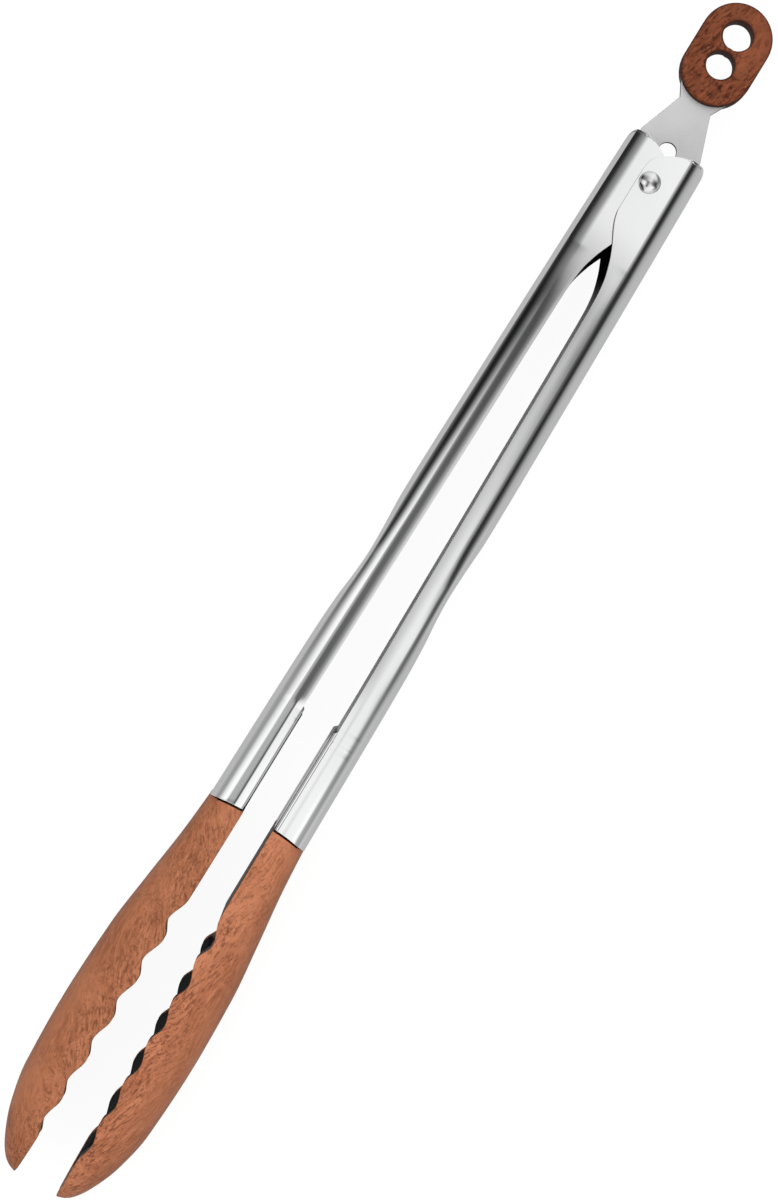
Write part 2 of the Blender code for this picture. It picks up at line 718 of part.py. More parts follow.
def build_tongs():
    """Build every part of the tongs."""
    clear_scene()
    build_arm("left_arm", -1, LEFT_HALF_WIDTH)
    build_arm("right_arm", 1, RIGHT_HALF_WIDTH)
    build_rivet()
    spacer_start = TAB_THICKNESS / 2 + STACK_GAP
    spacer_end = LEFT_HALF_WIDTH - SHEET - STACK_GAP
    build_spacer("spacer_upper", spacer_start, spacer_end)
    build_spacer("spacer_lower", -spacer_end, -spacer_start)
    build_spring()
    build_tab()
    build_ring_half("ring_front", 1)
    build_ring_half("ring_back", -1)
    build_head("left_head", -1, LEFT_HALF_WIDTH)
    build_head("right_head", 1, RIGHT_HALF_WIDTH)


build_tongs()
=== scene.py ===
"""Looks for the spring loaded kitchen tongs.

Sizes are millimetres from the pivot, as in the CAD: "along" is y and "reach" is
the distance out from the middle plane. Every piece is built on the right or the
left of that plane; all but the spring's two pieces ride on the CAD body they belong to.
"""

import json
import math

import bmesh
import bpy
import numpy as np
from mathutils import Matrix, Vector


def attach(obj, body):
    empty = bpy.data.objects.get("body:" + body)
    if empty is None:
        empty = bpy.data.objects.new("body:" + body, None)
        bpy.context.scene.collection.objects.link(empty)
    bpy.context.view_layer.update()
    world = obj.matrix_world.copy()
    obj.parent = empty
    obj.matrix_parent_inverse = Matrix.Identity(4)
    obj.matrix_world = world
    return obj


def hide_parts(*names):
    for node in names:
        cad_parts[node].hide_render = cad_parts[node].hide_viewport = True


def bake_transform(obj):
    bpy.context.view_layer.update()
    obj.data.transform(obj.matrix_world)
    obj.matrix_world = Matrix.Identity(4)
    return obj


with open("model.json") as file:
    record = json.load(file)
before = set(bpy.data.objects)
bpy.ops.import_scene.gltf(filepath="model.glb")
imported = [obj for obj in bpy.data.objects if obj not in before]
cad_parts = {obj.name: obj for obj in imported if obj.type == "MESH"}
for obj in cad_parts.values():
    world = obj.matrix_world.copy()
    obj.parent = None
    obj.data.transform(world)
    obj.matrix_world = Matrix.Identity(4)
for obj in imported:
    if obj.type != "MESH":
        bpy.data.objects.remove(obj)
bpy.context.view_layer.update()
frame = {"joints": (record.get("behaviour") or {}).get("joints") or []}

MM = 0.001
PIVOT = frame["joints"][0]["pos_m"]

# Arms, as in the CAD
SHEET = 0.8
STACK_GAP = 0.2
HALF_WIDTH = {"right": 12.0, "left": 11.0}
SIDE = {"right": 1, "left": -1}
ARM_BACK = 9.5
ARM_FRONT = -170.2
BACK_CORNER = (1.4, 2.6)
CORNER_RUN = 12.0
SHEET_EDGE = 0.16
SHEET_EDGE_ANGLE = 50
JOINT_ARCH = 1.2
JOINT_ARCH_START = -146.9
WEB_LINE = [
    (9.5, 9.85), (-20.0, 10.35), (-55.4, 10.85), (-88.5, 11.2), (-98.2, 10.75),
    (-104.1, 10.6), (-109.9, 10.85), (-116.7, 11.5), (-125.5, 11.95), (-170.2, 12.65),
]
FLANGE_LINE = [
    (9.5, 5.85), (8.1, 1.9), (6.7, -0.3), (5.6, -1.8), (4.2, -2.6), (1.9, -2.9),
    (-8.6, -2.95), (-10.9, -2.5), (-13.2, -1.55), (-16.2, 0.0), (-20.5, 1.75),
    (-25.0, 2.9), (-29.0, 3.3), (-34.0, 3.45), (-69.1, 3.9), (-111.9, 4.45),
    (-143.6, 4.85), (-170.2, 4.95),
]
SOCKET_REACH = 4.0
SOCKET_SEAM = {"right": 1.5, "left": 0.5}
SOCKET_BEND = 1.0
# The outer bend is tight at the web and easier towards the flange: radii, and the tilt between
WEB_BEND = [
    (9.5, 3.9), (-88.5, 3.9), (-98.2, 2.75), (-104.1, 2.25), (-109.9, 2.5), (-116.7, 3.4),
    (-125.5, 3.9), (-170.2, 3.9),
]
FACE_BEND = 5.0
BEND_CHANGE = math.radians(26)
# The flange is slightly crowned: (distance from its edge, tilt in degrees outwards)
GRIP_CROWN = {
    "left": ((0.0, -2.2), (0.9, 0.2), (2.3, 2.9), (3.1, 5.0)),
    "right": ((0.0, 0.0), (1.2, 0.8), (2.3, 2.9), (3.1, 5.0)),
}
SOCKET_CROWN = {
    "left": ((1.0, -9.0), (2.1, -7.0), (2.4, -5.5), (2.7, 3.5), (3.2, 5.0)),
    "right": ((1.0, 5.5), (1.9, 4.5), (2.5, 1.3), (3.1, 4.5), (3.4, 5.0)),
}
# Where the grip's crown turns into the socket's
SOCKET_BLEND = {"left": (-141.2, -144.0), "right": (-126.0, -147.0)}
# Where the flange starts to fold in, and where the socket's lip grows to its full depth
FOLD_RUN = (-142.4, -143.7)
LIP_RUN = (-143.7, -148.2)
# The flat ears grow into the crowned grip: (along, share of the crown)
CROWN_LINE = [(-20.0, 0.0), (-42.0, 1.0)]
# Behind this the ear's outline is cut from the flange and its bend
EAR_FRONT = -5.0
EAR_MARGIN = 1.0
# Rows along an arm: (start, spacing up to the next start)
ARM_MARKS = [
    (ARM_BACK, 0.2), (3.0, 0.5), (-36.0, 1.6), (-90.0, 1.2), (-120.0, 1.6),
    (-138.0, 0.8), (-142.4, 0.12), (-146.0, 0.3), (-149.0, 1.2), (ARM_FRONT, 0),
]
PROFILE_SAMPLES = 600
FLANGE_COLUMNS = 60
BEND_COLUMNS = 20
WEB_COLUMNS = 8

# The channel's inside is painted dark, as shade, before the first of these and plain steel after the
# second
INSIDE_SHADE_FADE = (-20.0, -27.0)
# The part of the tongs, in metres along y, over which the cut edge's tint is set
EDGE_SPAN = (-0.06, -0.02)

# Rivet, spring and tab, as in the CAD
RIVET_RADIUS = 1.8
RIVET_HEAD_RADIUS = 2.55
RIVET_HEAD_HEIGHT = 1.3
RIVET_HEAD_LIP = 0.2
RIVET_UNDERCUT = 0.05
RIVET_FLATNESS = 2.1
DOME_STEPS = 18
SPACER_RADIUS = 2.8
SPACER_EDGE = 0.15
CLEARANCE = 0.3
HOLE_RADIUS = 2.1
CUTTER_REACH = 20.0
WIRE_RADIUS = 0.6
COIL_RADIUS = 4.4
COIL_TURNS = 4.5
COIL_TOP = -2.1
COIL_BOTTOM = -8.9
COIL_STEPS = 90
# Points of each spring leg, (reach, along): where it leaves the coil, its knee and its end
LEG_START = (4.9, -4.0)
LEG_KNEE = (8.04, -19.2)
LEG_END = (8.55, -24.0)
TAB_THICKNESS = 1.0
TAB_EDGE = 0.12
TAB_HOLE_ROOM = 1.2
SLOT_STEPS = 24
RING_THICKNESS = 5.4
RING_RADIUS = 8.55
RING_CENTRES = (41.15, 33.0)
RING_EDGE = 0.9
RING_HOLES = ((42.1, 3.55), (34.2, 3.35))
RING_STEPS = 48
RING_HOLE_STEPS = 72
RING_OVERLAP = 0.05
RING_CUT = (10.0, 60.0, 10.0)
POCKET_ROOM = 0.3
POCKET_GAP = 0.4
POCKET_FRONT = 12.0
POCKET_HOLE_ROOM = 0.9
TANG_CENTRE = 40.7
TANG_HALF = 6.9
TANG_FRONT = 28.5
TANG_STEPS = 32
NECK = (4.15, 23.4)
SHOULDER = (8.0, 12.6, -2.5)
TAB_FRONT = (6.2, -6.8)
SLOT = (2.15, 13.1, -2.8)

# Heads, as in the CAD
TIP_REACH = 270.3
HEAD_BACK = ARM_FRONT - 0.3
SHELL_WALL = 1.2
CORE_INSET = 1.5
HOLLOW_INSET = 3.0
HOLLOW_BACK = -198.7
HOLLOW_RUN_IN = 13.0
HOLLOW_NARROWING = 2.0
SHANK_BACK = -146.4
SHANK_INSET = 1.65
SHANK_INNER = 5.1
SHANK_ROWS = 12
SHANK_CUT = 0.02
SHANK_FLAT_SHARE = 0.98
SHANK_END_GAP = 0.05
TIP_THICKENING = 1.8
TIP_START = -217.0
TIP_RUN = 45.0
RIM_ROUND = 0.3
LAND_WIDTH = 0.5
# Narrow gap between the steel's end and the shell
JOINT_SHADOW = 0.25
MIN_DEPTH = 0.6
MIN_WIDTH = 0.3
# An arch is never cut closer to its top than this share of its depth
ARCH_CUT_LIMIT = 0.97
ARCH_SAMPLES = 240
HEAD_STEP = 0.5
# Above 1, rows come closer together towards the tip
TIP_CLOSENESS = 1.35
SHELL_POINTS = (61, 45)
CORE_POINTS = (49, 41)
HEAD_LINE = [
    (-170.2, 12.65), (-182.4, 13.6), (-196.6, 15.3), (-210.8, 16.8), (-229.2, 17.36),
    (-247.4, 16.7), (-256.8, 14.95), (-264.4, 12.05), (-268.5, 9.4), (-270.3, 6.9),
]
HEAD_WIDTHS = [
    (-186.5, 12.6), (-201.7, 13.6), (-222.1, 14.4), (-235.3, 14.45), (-249.5, 13.7),
    (-259.7, 11.6), (-265.8, 8.6), (-269.1, 5.4), (-270.3, 2.6),
]
HEAD_SQUARENESS = [(-170.2, 3.1), (-182.4, 2.9), (-200.7, 2.5), (-222.1, 2.3), (-270.3, 2.1)]
RIM_LINE = [
    (-170.2, 3.95), (-196.6, 4.15), (-217.0, 4.6), (-239.4, 4.95), (-264.8, 5.35), (-270.9, 5.5),
]
SCALLOP_PITCH = 10.7
SCALLOP_COUNT = 6
SCALLOP_FIRST = -200.0
SCALLOP_DEPTH = (1.7, 1.1)
SCALLOP_LEAN = 0.41
# The photo's left head is rolled a little. Here only its far edge is cut back, by this share
# of a scallop, and the cut fades in and out over these stretches
FAR_EDGE_SETBACK = {"left": 0.85, "right": 0.0}
SETBACK_START = (-182.0, -198.0)
SETBACK_END = (-258.0, -269.0)

# Camera: the photograph's view from above, at its scale
VIEW_CENTRE = (-0.0007, -0.0017)
VIEW_DISTANCE = 0.50
VIEW_HEIGHT = 0.2798
VIEW_TURN = 31.5
VIEW_OFFSET = -0.010
SENSOR = 24.0

# Studio
FLOOR_HALF = 4.0
FLOOR_GREY = 0.12
FLOOR_GLOW = (0.12, 0.40)
FLOOR_SEEN = 0.80
LAMP_SIZE = 1.2
LAMP_POWER = 5.0
LAMP_PLACE = (-0.35, 0.35, 1.1)
SKY_STRENGTH = 0.85
SKY_RAMP = [(0.0, 0.6), (0.35, 0.8), (1.0, 1.02)]


# ---------------------------------------------------------------- shapes

def value_at(stations, along):
    """Read a smooth line through (along, value) stations without overshoot."""
    points = sorted(stations)
    if along <= points[0][0]:
        return points[0][1]
    if along >= points[-1][0]:
        return points[-1][1]
    slopes = [(b[1] - a[1]) / (b[0] - a[0]) for a, b in zip(points, points[1:])]
    tangents = [slopes[0]]
    for before, after in zip(slopes, slopes[1:]):
        turning = before * after <= 0.0
        tangents.append(0.0 if turning else 2.0 * before * after / (before + after))
    tangents.append(slopes[-1])
    spot = max(i for i in range(len(points) - 1) if points[i][0] <= along)
    (start, low), (end, high) = points[spot], points[spot + 1]
    span = end - start
    t = (along - start) / span
    return (
        low * (1 + 2 * t) * (1 - t) ** 2
        + high * t * t * (3 - 2 * t)
        + tangents[spot] * span * t * (1 - t) ** 2
        - tangents[spot + 1] * span * t * t * (1 - t)
    )


def smooth_step(value, start, end):
    """0 before start, 1 after end, and a soft turn between."""
    t = min(max((value - start) / (end - start), 0.0), 1.0)
    return t * t * (3 - 2 * t)


def arc(centre, radii, start_degrees, end_degrees, steps):
    """Points on an ellipse's arc, both ends included."""
    angles = np.radians(np.linspace(start_degrees, end_degrees, steps + 1))
    return [
        (centre[0] + radii[0] * math.cos(a), centre[1] + radii[1] * math.sin(a)) for a in angles
    ]


def linked(name, data):
    """New object in the scene."""
    item = bpy.data.objects.new(name, data)
    bpy.context.scene.collection.objects.link(item)
    return item


def to_scene(mesh):
    """Move a mesh made in millimetres from the pivot to its place, in metres."""
    mesh.transform(Matrix.Translation(PIVOT) @ Matrix.Scale(MM, 4))


def place(name, mesh, body, materials, sharp=35.0):
    """Put a mesh into the scene, riding on a body; edges over the sharp angle stay sharp."""
    to_scene(mesh)
    mesh.update()
    for material in materials:
        mesh.materials.append(material)
    mesh.shade_smooth()
    mesh.set_sharp_from_angle(angle=math.radians(sharp))
    piece = linked(name, mesh)
    if body:
        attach(piece, body)
    return piece


def skin(name, rings, closed=True, capped=True):
    """Mesh over equal rings of (x, y, z) points, facing outwards."""
    count = len(rings[0])
    verts = [tuple(point) for ring in rings for point in ring]
    faces = []
    last = count if closed else count - 1
    for row in range(len(rings) - 1):
        for i in range(last):
            j = (i + 1) % count
            a, b = row * count, (row + 1) * count
            faces.append((a + i, a + j, b + j, b + i))
    if capped:
        faces.append(tuple(range(count)))
        faces.append(tuple(range(len(verts) - count, len(verts))))
    mesh = bpy.data.meshes.new(name)
    mesh.from_pydata(verts, [], faces)
    if capped:
        face_outwards(mesh)
    return mesh


def face_outwards(mesh, weld=None):
    """Turn every face of a closed mesh to point out, after welding points closer than weld."""
    bm = bmesh.new()
    bm.from_mesh(mesh)
    if weld:
        bmesh.ops.remove_doubles(bm, verts=bm.verts, dist=weld)
    bmesh.ops.recalc_face_normals(bm, faces=bm.faces)
    bm.to_mesh(mesh)
    bm.free()


def resampled(points, count):
    """The same line with evenly spaced points."""
    points = np.array(points, float)
    steps = np.r_[0, np.cumsum(np.linalg.norm(np.diff(points, axis=0), axis=1))]
    at = np.linspace(0, steps[-1], count)
    return np.stack([np.interp(at, steps, points[:, k]) for k in range(points.shape[1])], axis=1)


def turned(name, profile, steps=64):
    """Turn a closed (radius, height) profile round the pivot axis."""
    rings = []
    for i in range(steps):
        angle = 2 * math.pi * i / steps
        rings.append([(r * math.cos(angle), r * math.sin(angle), h) for r, h in profile])
    rings.append(rings[0])
    mesh = skin(name, rings, closed=profile[0][0] > 0, capped=False)
    face_outwards(mesh, weld=0.0001)
    return mesh


def wire(name, path, radius):
    """Round wire along a path."""
    curve = bpy.data.curves.new(name, "CURVE")
    curve.dimensions = "3D"
    curve.bevel_depth = radius
    curve.bevel_resolution = 5
    curve.use_fill_caps = True
    spline = curve.splines.new("POLY")
    spline.points.add(len(path) - 1)
    for point, spot in zip(spline.points, path):
        point.co = (*spot, 1.0)
    return evaluated(name, curve)


def plate(name, loops, thickness, edge, steps):
    """Flat outline with holes, with rounded edges, centred on z = 0."""
    curve = bpy.data.curves.new(name, "CURVE")
    curve.dimensions = "2D"
    curve.fill_mode = "BOTH"
    curve.extrude = thickness / 2 - edge
    curve.bevel_depth = edge
    curve.bevel_resolution = steps
    curve.offset = -edge
    for loop in loops:
        spline = curve.splines.new("POLY")
        spline.points.add(len(loop) - 1)
        spline.use_cyclic_u = True
        for point, (x, y) in zip(spline.points, loop):
            point.co = (x, y, 0.0, 1.0)
    return evaluated(name, curve)


def evaluated_mesh(source):
    """Mesh of an object with its modifiers or curve settings applied."""
    bpy.context.view_layer.update()
    depsgraph = bpy.context.evaluated_depsgraph_get()
    return bpy.data.meshes.new_from_object(source.evaluated_get(depsgraph))


def cut_away(piece, tool_name, tool_mesh, cut_name):
    """Apply a piece's modifiers and cut a mesh made in millimetres from the pivot out of it."""
    to_scene(tool_mesh)
    tool = linked(tool_name, tool_mesh)
    cut = piece.modifiers.new(cut_name, "BOOLEAN")
    cut.operation = "DIFFERENCE"
    cut.solver = "EXACT"
    cut.object = tool
    mesh = evaluated_mesh(piece)
    piece.modifiers.clear()
    piece.data = mesh
    bpy.data.objects.remove(tool, do_unlink=True)


def evaluated(name, curve):
    """Mesh of a curve, welded and facing out."""
    guide = linked(name + "_guide", curve)
    mesh = evaluated_mesh(guide)
    bpy.data.objects.remove(guide, do_unlink=True)
    face_outwards(mesh, weld=0.001)
    mesh.name = name
    mesh.materials.clear()
    return mesh


# ---------------------------------------------------------------- materials

def fill_ramp(ramp, stops):
    """Set a colour ramp's stops; a stop is (position, value or colour)."""
    ramp.elements.remove(ramp.elements[-1])
    element = ramp.elements[0]
    element.position = stops[0][0]
    for position, colour in stops:
        if position != stops[0][0]:
            element = ramp.elements.new(position)
        red_green_blue = colour if isinstance(colour, tuple) else (colour, colour, colour)
        element.color = (*red_green_blue, 1.0)


class Nodes:
    """Short way to add and join shader nodes in one material."""

    def __init__(self, name):
        self.material = bpy.data.materials.new(name)
        self.material.use_nodes = True
        self.tree = self.material.node_tree
        self.shader = self.tree.nodes["Principled BSDF"]

    def add(self, kind, inputs=(), **settings):
        node = self.tree.nodes.new(kind)
        for key, value in settings.items():
            setattr(node, key, value)
        for key, value in dict(inputs).items():
            if isinstance(value, bpy.types.NodeSocket):
                self.tree.links.new(value, node.inputs[key])
            else:
                node.inputs[key].default_value = value
        return node

    def shade(self, **inputs):
        """Set or link the Principled shader's own sockets."""
        for key, value in inputs.items():
            socket = self.shader.inputs[key.replace("_", " ")]
            if isinstance(value, bpy.types.NodeSocket):
                self.tree.links.new(value, socket)
            else:
                socket.default_value = value

    def stretched(self, scale, turn=(0.0, 0.0, 0.0)):
        """Object coordinates, in metres, scaled along each axis."""
        coordinates = self.add("ShaderNodeTexCoord")
        mapping = self.add("ShaderNodeMapping", {"Vector": coordinates.outputs["Object"]})
        mapping.inputs["Scale"].default_value = scale
        mapping.inputs["Rotation"].default_value = [math.radians(a) for a in turn]
        return mapping.outputs["Vector"]

    def noise(self, vector, scale=1.0, detail=4.0, roughness=0.55, distortion=0.0):
        node = self.add("ShaderNodeTexNoise", {
            "Vector": vector, "Scale": scale, "Detail": detail,
            "Roughness": roughness, "Distortion": distortion,
        })
        return node.outputs["Fac"]

    def ramp(self, factor, stops):
        """Colour ramp with the given stops."""
        node = self.add("ShaderNodeValToRGB", {"Fac": factor})
        fill_ramp(node.color_ramp, stops)
        return node.outputs["Color"]

    def blend(self, factor, a, b, mode="MIX"):
        node = self.add("ShaderNodeMix", data_type="RGBA", blend_type=mode)
        for index, value in ((0, factor), (6, a), (7, b)):
            if isinstance(value, bpy.types.NodeSocket):
                self.tree.links.new(value, node.inputs[index])
            elif index == 0:
                node.inputs[0].default_value = value
            else:
                node.inputs[index].default_value = (*value, 1.0)
        return node.outputs[2]

    def range(self, value, low, high):
        node = self.add("ShaderNodeMapRange", {"Value": value, "To Min": low, "To Max": high})
        return node.outputs["Result"]

    def bump(self, height, strength, distance):
        node = self.add("ShaderNodeBump", {
            "Height": height, "Strength": strength, "Distance": distance,
        })
        self.shade(Normal=node.outputs["Normal"])


def polished_steel():
    """Mirror polished sheet: fine lengthwise polishing lines and faint smears."""
    n = Nodes("polished_steel")
    lines = n.noise(n.stretched((5200, 160, 5200)), detail=3.0)
    smears = n.noise(n.stretched((70, 35, 70)), detail=3.0, distortion=0.4)
    tint = n.ramp(smears, [(0.3, (0.88, 0.885, 0.89)), (0.7, (0.93, 0.93, 0.932))])
    mixed = n.blend(0.35, n.range(lines, 0.03, 0.08), n.range(smears, 0.03, 0.08))
    n.shade(Base_Color=tint, Metallic=1.0, Roughness=mixed)
    n.bump(lines, 0.06, 0.00002)
    return n.material


def rivet_steel():
    """Satin headed rivet."""
    n = Nodes("rivet_steel")
    grain = n.noise(n.stretched((1400, 1400, 1400)), detail=4.0)
    tint = n.ramp(grain, [(0.3, (0.84, 0.84, 0.845)), (0.7, (0.9, 0.9, 0.902))])
    n.shade(Base_Color=tint, Metallic=1.0, Roughness=n.range(grain, 0.12, 0.2))
    n.bump(grain, 0.1, 0.00003)
    return n.material


def channel_inside():
    """Inner face of the pressed sheet: near black at the ears as painted shade, plain steel further
    on.
    """
    n = Nodes("channel_inside")
    lines = n.noise(n.stretched((1800, 120, 1800)), detail=5.0)
    patches = n.noise(n.stretched((120, 60, 120)), detail=4.0)
    # Painted shade: near black steel stands in for the deep shade inside the channel at the ears
    painted_shade = n.ramp(patches, [(0.3, (0.012, 0.012, 0.013)), (0.7, (0.03, 0.03, 0.031))])
    unshaded = n.ramp(patches, [(0.3, (0.62, 0.62, 0.625)), (0.7, (0.72, 0.72, 0.722))])
    where = n.add("ShaderNodeSeparateXYZ", {"Vector": n.stretched((1, 1, 1))}).outputs["Y"]
    fade = n.add("ShaderNodeMapRange", {
        "Value": where,
        "From Min": PIVOT[1] + INSIDE_SHADE_FADE[0] * MM,
        "From Max": PIVOT[1] + INSIDE_SHADE_FADE[1] * MM,
    })
    n.shade(Base_Color=n.blend(fade.outputs["Result"], painted_shade, unshaded), Metallic=1.0)
    n.shade(Roughness=n.range(lines, 0.25, 0.45))
    n.bump(lines, 0.15, 0.00003)
    return n.material


def cut_edge():
    """Sheared edge of the sheet, lighter along the socket's lip."""
    n = Nodes("cut_edge")
    grain = n.noise(n.stretched((2400, 900, 2400)), detail=4.0)
    tint = n.ramp(grain, [(0.35, (0.10, 0.10, 0.102)), (0.65, (0.17, 0.17, 0.172))])
    where = n.add("ShaderNodeSeparateXYZ", {"Vector": n.stretched((1, 1, 1))}).outputs["Y"]
    share = n.add("ShaderNodeMapRange", {
        "Value": where, "From Min": EDGE_SPAN[0], "From Max": EDGE_SPAN[1],
    })
    lip = n.ramp(share.outputs["Result"], [(0.1, 0.0), (0.2, 0.8), (0.74, 0.8), (0.82, 0.0)])
    tint = n.blend(lip, tint, (0.6, 0.6, 0.602))
    n.shade(Base_Color=tint, Metallic=1.0, Roughness=n.range(grain, 0.35, 0.55))
    n.bump(grain, 0.15, 0.00003)
    return n.material


def matt_steel():
    """Blasted tab: even fine grain."""
    n = Nodes("matt_steel")
    grain = n.noise(n.stretched((2600, 2600, 2600)), detail=4.0, roughness=0.7)
    patches = n.noise(n.stretched((130, 130, 130)), detail=3.0)
    tint = n.ramp(patches, [(0.3, (0.76, 0.76, 0.765)), (0.7, (0.82, 0.82, 0.825))])
    speckled = n.blend(n.range(grain, 0.0, 0.4), tint, (0.55, 0.55, 0.555))
    n.shade(Base_Color=speckled, Metallic=0.5, Roughness=n.range(grain, 0.42, 0.6))
    n.bump(grain, 0.12, 0.00003)
    return n.material


def spring_steel():
    """Drawn wire."""
    n = Nodes("spring_steel")
    grain = n.noise(n.stretched((2600, 2600, 2600)), detail=4.0)
    tint = n.ramp(grain, [(0.35, (0.34, 0.35, 0.36)), (0.65, (0.48, 0.49, 0.5))])
    n.shade(Base_Color=tint, Metallic=1.0, Roughness=n.range(grain, 0.22, 0.4))
    n.bump(grain, 0.1, 0.00003)
    return n.material


def wood_effect(name, dark, middle, light, fleck, turn, shade, gloss):
    """Printed wood: fine slanted streaks, small dark flecks and soft cloudy patches, with painted
    shade on faces seen at a slant.
    """
    n = Nodes(name)
    warped = n.stretched((1, 1, 1), turn)
    bends = n.add("ShaderNodeTexNoise", {
        "Vector": n.stretched((55, 40, 55)), "Scale": 1.0, "Detail": 2.0,
    })
    moved = n.add("ShaderNodeVectorMath", {
        0: bends.outputs["Color"], 1: (0.011, 0.011, 0.011),
    }, operation="MULTIPLY")
    shifts = {0: warped, 1: moved.outputs[0]}
    curved = n.add("ShaderNodeVectorMath", shifts, operation="ADD").outputs[0]

    def scaled(factors):
        inputs = {0: curved, 1: factors}
        return n.add("ShaderNodeVectorMath", inputs, operation="MULTIPLY").outputs[0]

    grain = n.noise(scaled((1500, 300, 1500)), detail=5.0, roughness=0.65)
    streaks = n.noise(scaled((560, 90, 560)), detail=5.0, roughness=0.6)
    pores = n.noise(scaled((1900, 420, 1900)), detail=4.0, roughness=0.6)
    dots = n.noise(scaled((1700, 1300, 1700)), detail=4.0, roughness=0.6)
    clouds = n.noise(n.stretched((60, 32, 60)), detail=3.0, roughness=0.5, distortion=0.6)
    base = n.ramp(grain, [(0.36, dark), (0.5, middle), (0.64, light)])
    broad = n.ramp(streaks, [(0.38, dark), (0.5, middle), (0.64, light)])
    colour = n.blend(0.4, base, broad)
    colour = n.blend(n.ramp(clouds, [(0.42, 0.0), (0.62, 0.6)]), colour, light)
    reach = n.add("ShaderNodeSeparateXYZ", {"Vector": n.stretched((1, 1, 1))}).outputs["X"]
    reach = n.add("ShaderNodeMath", {0: reach}, operation="ABSOLUTE").outputs[0]
    inner = n.add("ShaderNodeMapRange", {
        "Value": reach, "From Min": 0.008, "From Max": 0.0135, "To Min": 1.0, "To Max": 0.3,
    })
    where = n.ramp(clouds, [(0.46, 1.0), (0.66, 0.35)])
    where = n.blend(1.0, where, inner.outputs["Result"], "MULTIPLY")
    lines = n.blend(1.0, n.ramp(pores, [(0.51, 0.0), (0.61, 0.8)]), where, "MULTIPLY")
    colour = n.blend(lines, colour, fleck)
    spots = n.blend(1.0, n.ramp(dots, [(0.55, 0.0), (0.65, 0.7)]), where, "MULTIPLY")
    colour = n.blend(spots, colour, fleck)
    # Painted shade: faces seen at a slant are darkened towards the fleck colour by the shade ramp
    rim = n.add("ShaderNodeLayerWeight", {"Blend": 0.5}).outputs["Facing"]
    colour = n.blend(n.ramp(rim, shade), colour, fleck)
    n.shade(Base_Color=colour, Roughness=n.range(grain, 0.42, 0.6))
    n.shade(Specular_IOR_Level=gloss)
    n.bump(grain, 0.2, 0.00008)
    return n.material


def black_core():
    """Satin black nylon with a moulded grain."""
    n = Nodes("black_core")
    grain = n.noise(n.stretched((1500, 1500, 1500)), detail=4.0)
    tint = n.ramp(grain, [(0.3, (0.008, 0.007, 0.007)), (0.7, (0.016, 0.014, 0.013))])
    n.shade(Base_Color=tint, Roughness=n.range(grain, 0.38, 0.55))
    n.bump(grain, 0.15, 0.00004)
    return n.material


POLISHED = polished_steel()
RIVET = rivet_steel()
INSIDE = channel_inside()
CUT_EDGE = cut_edge()
MATT = matt_steel()
SPRING = spring_steel()
# Both heads carry the same printed wood: the right head's copy is lighter, painted light, and the left
# head's darker, painted shade
LIT_RIGHT_WOOD = wood_effect(
    "wood_effect_lit", (0.34, 0.108, 0.047), (0.50, 0.170, 0.077), (0.67, 0.256, 0.130),
    (0.17, 0.052, 0.023), (0, 0, 14), [(0.85, 0.0), (1.0, 0.5)], 0.22,
)
SHADED_LEFT_WOOD = wood_effect(
    "wood_effect_shaded", (0.28, 0.093, 0.040), (0.42, 0.146, 0.066), (0.56, 0.212, 0.103),
    (0.18, 0.056, 0.023), (0, 0, -24), [(0.85, 0.0), (1.0, 0.5)], 0.22,
)
# The ring's wood is its own dark colour; its strong shade ramp also paints shade on its side and hole
# walls
RING_WOOD = wood_effect(
    "wood_effect_dark", (0.09, 0.024, 0.011), (0.185, 0.052, 0.023), (0.30, 0.092, 0.042),
    (0.03, 0.008, 0.005), (0, 0, 20), [(0.15, 0.0), (0.65, 0.9)], 0.06,
)
BLACK = black_core()


# ---------------------------------------------------------------- arms

def joint_arch(reach):
    """How much further the steel's front end runs at a given reach."""
    share = (reach - WEB_LINE[-1][1]) / (RIM_LINE[0][1] - WEB_LINE[-1][1])
    return -JOINT_ARCH * (1.0 - share) ** 2


def bend_profile(along, tilt):
    """(distance in from the web, height above the web's end) of the outer bend at a tilt."""
    radius = value_at(WEB_BEND, along)
    if tilt > BEND_CHANGE:
        return radius * (1 - math.sin(tilt)), radius * math.cos(tilt)
    inwards = radius * (1 - math.sin(BEND_CHANGE))
    height = radius * math.cos(BEND_CHANGE)
    inwards += FACE_BEND * (math.sin(BEND_CHANGE) - math.sin(tilt))
    return inwards, height + FACE_BEND * (math.cos(tilt) - math.cos(BEND_CHANGE))


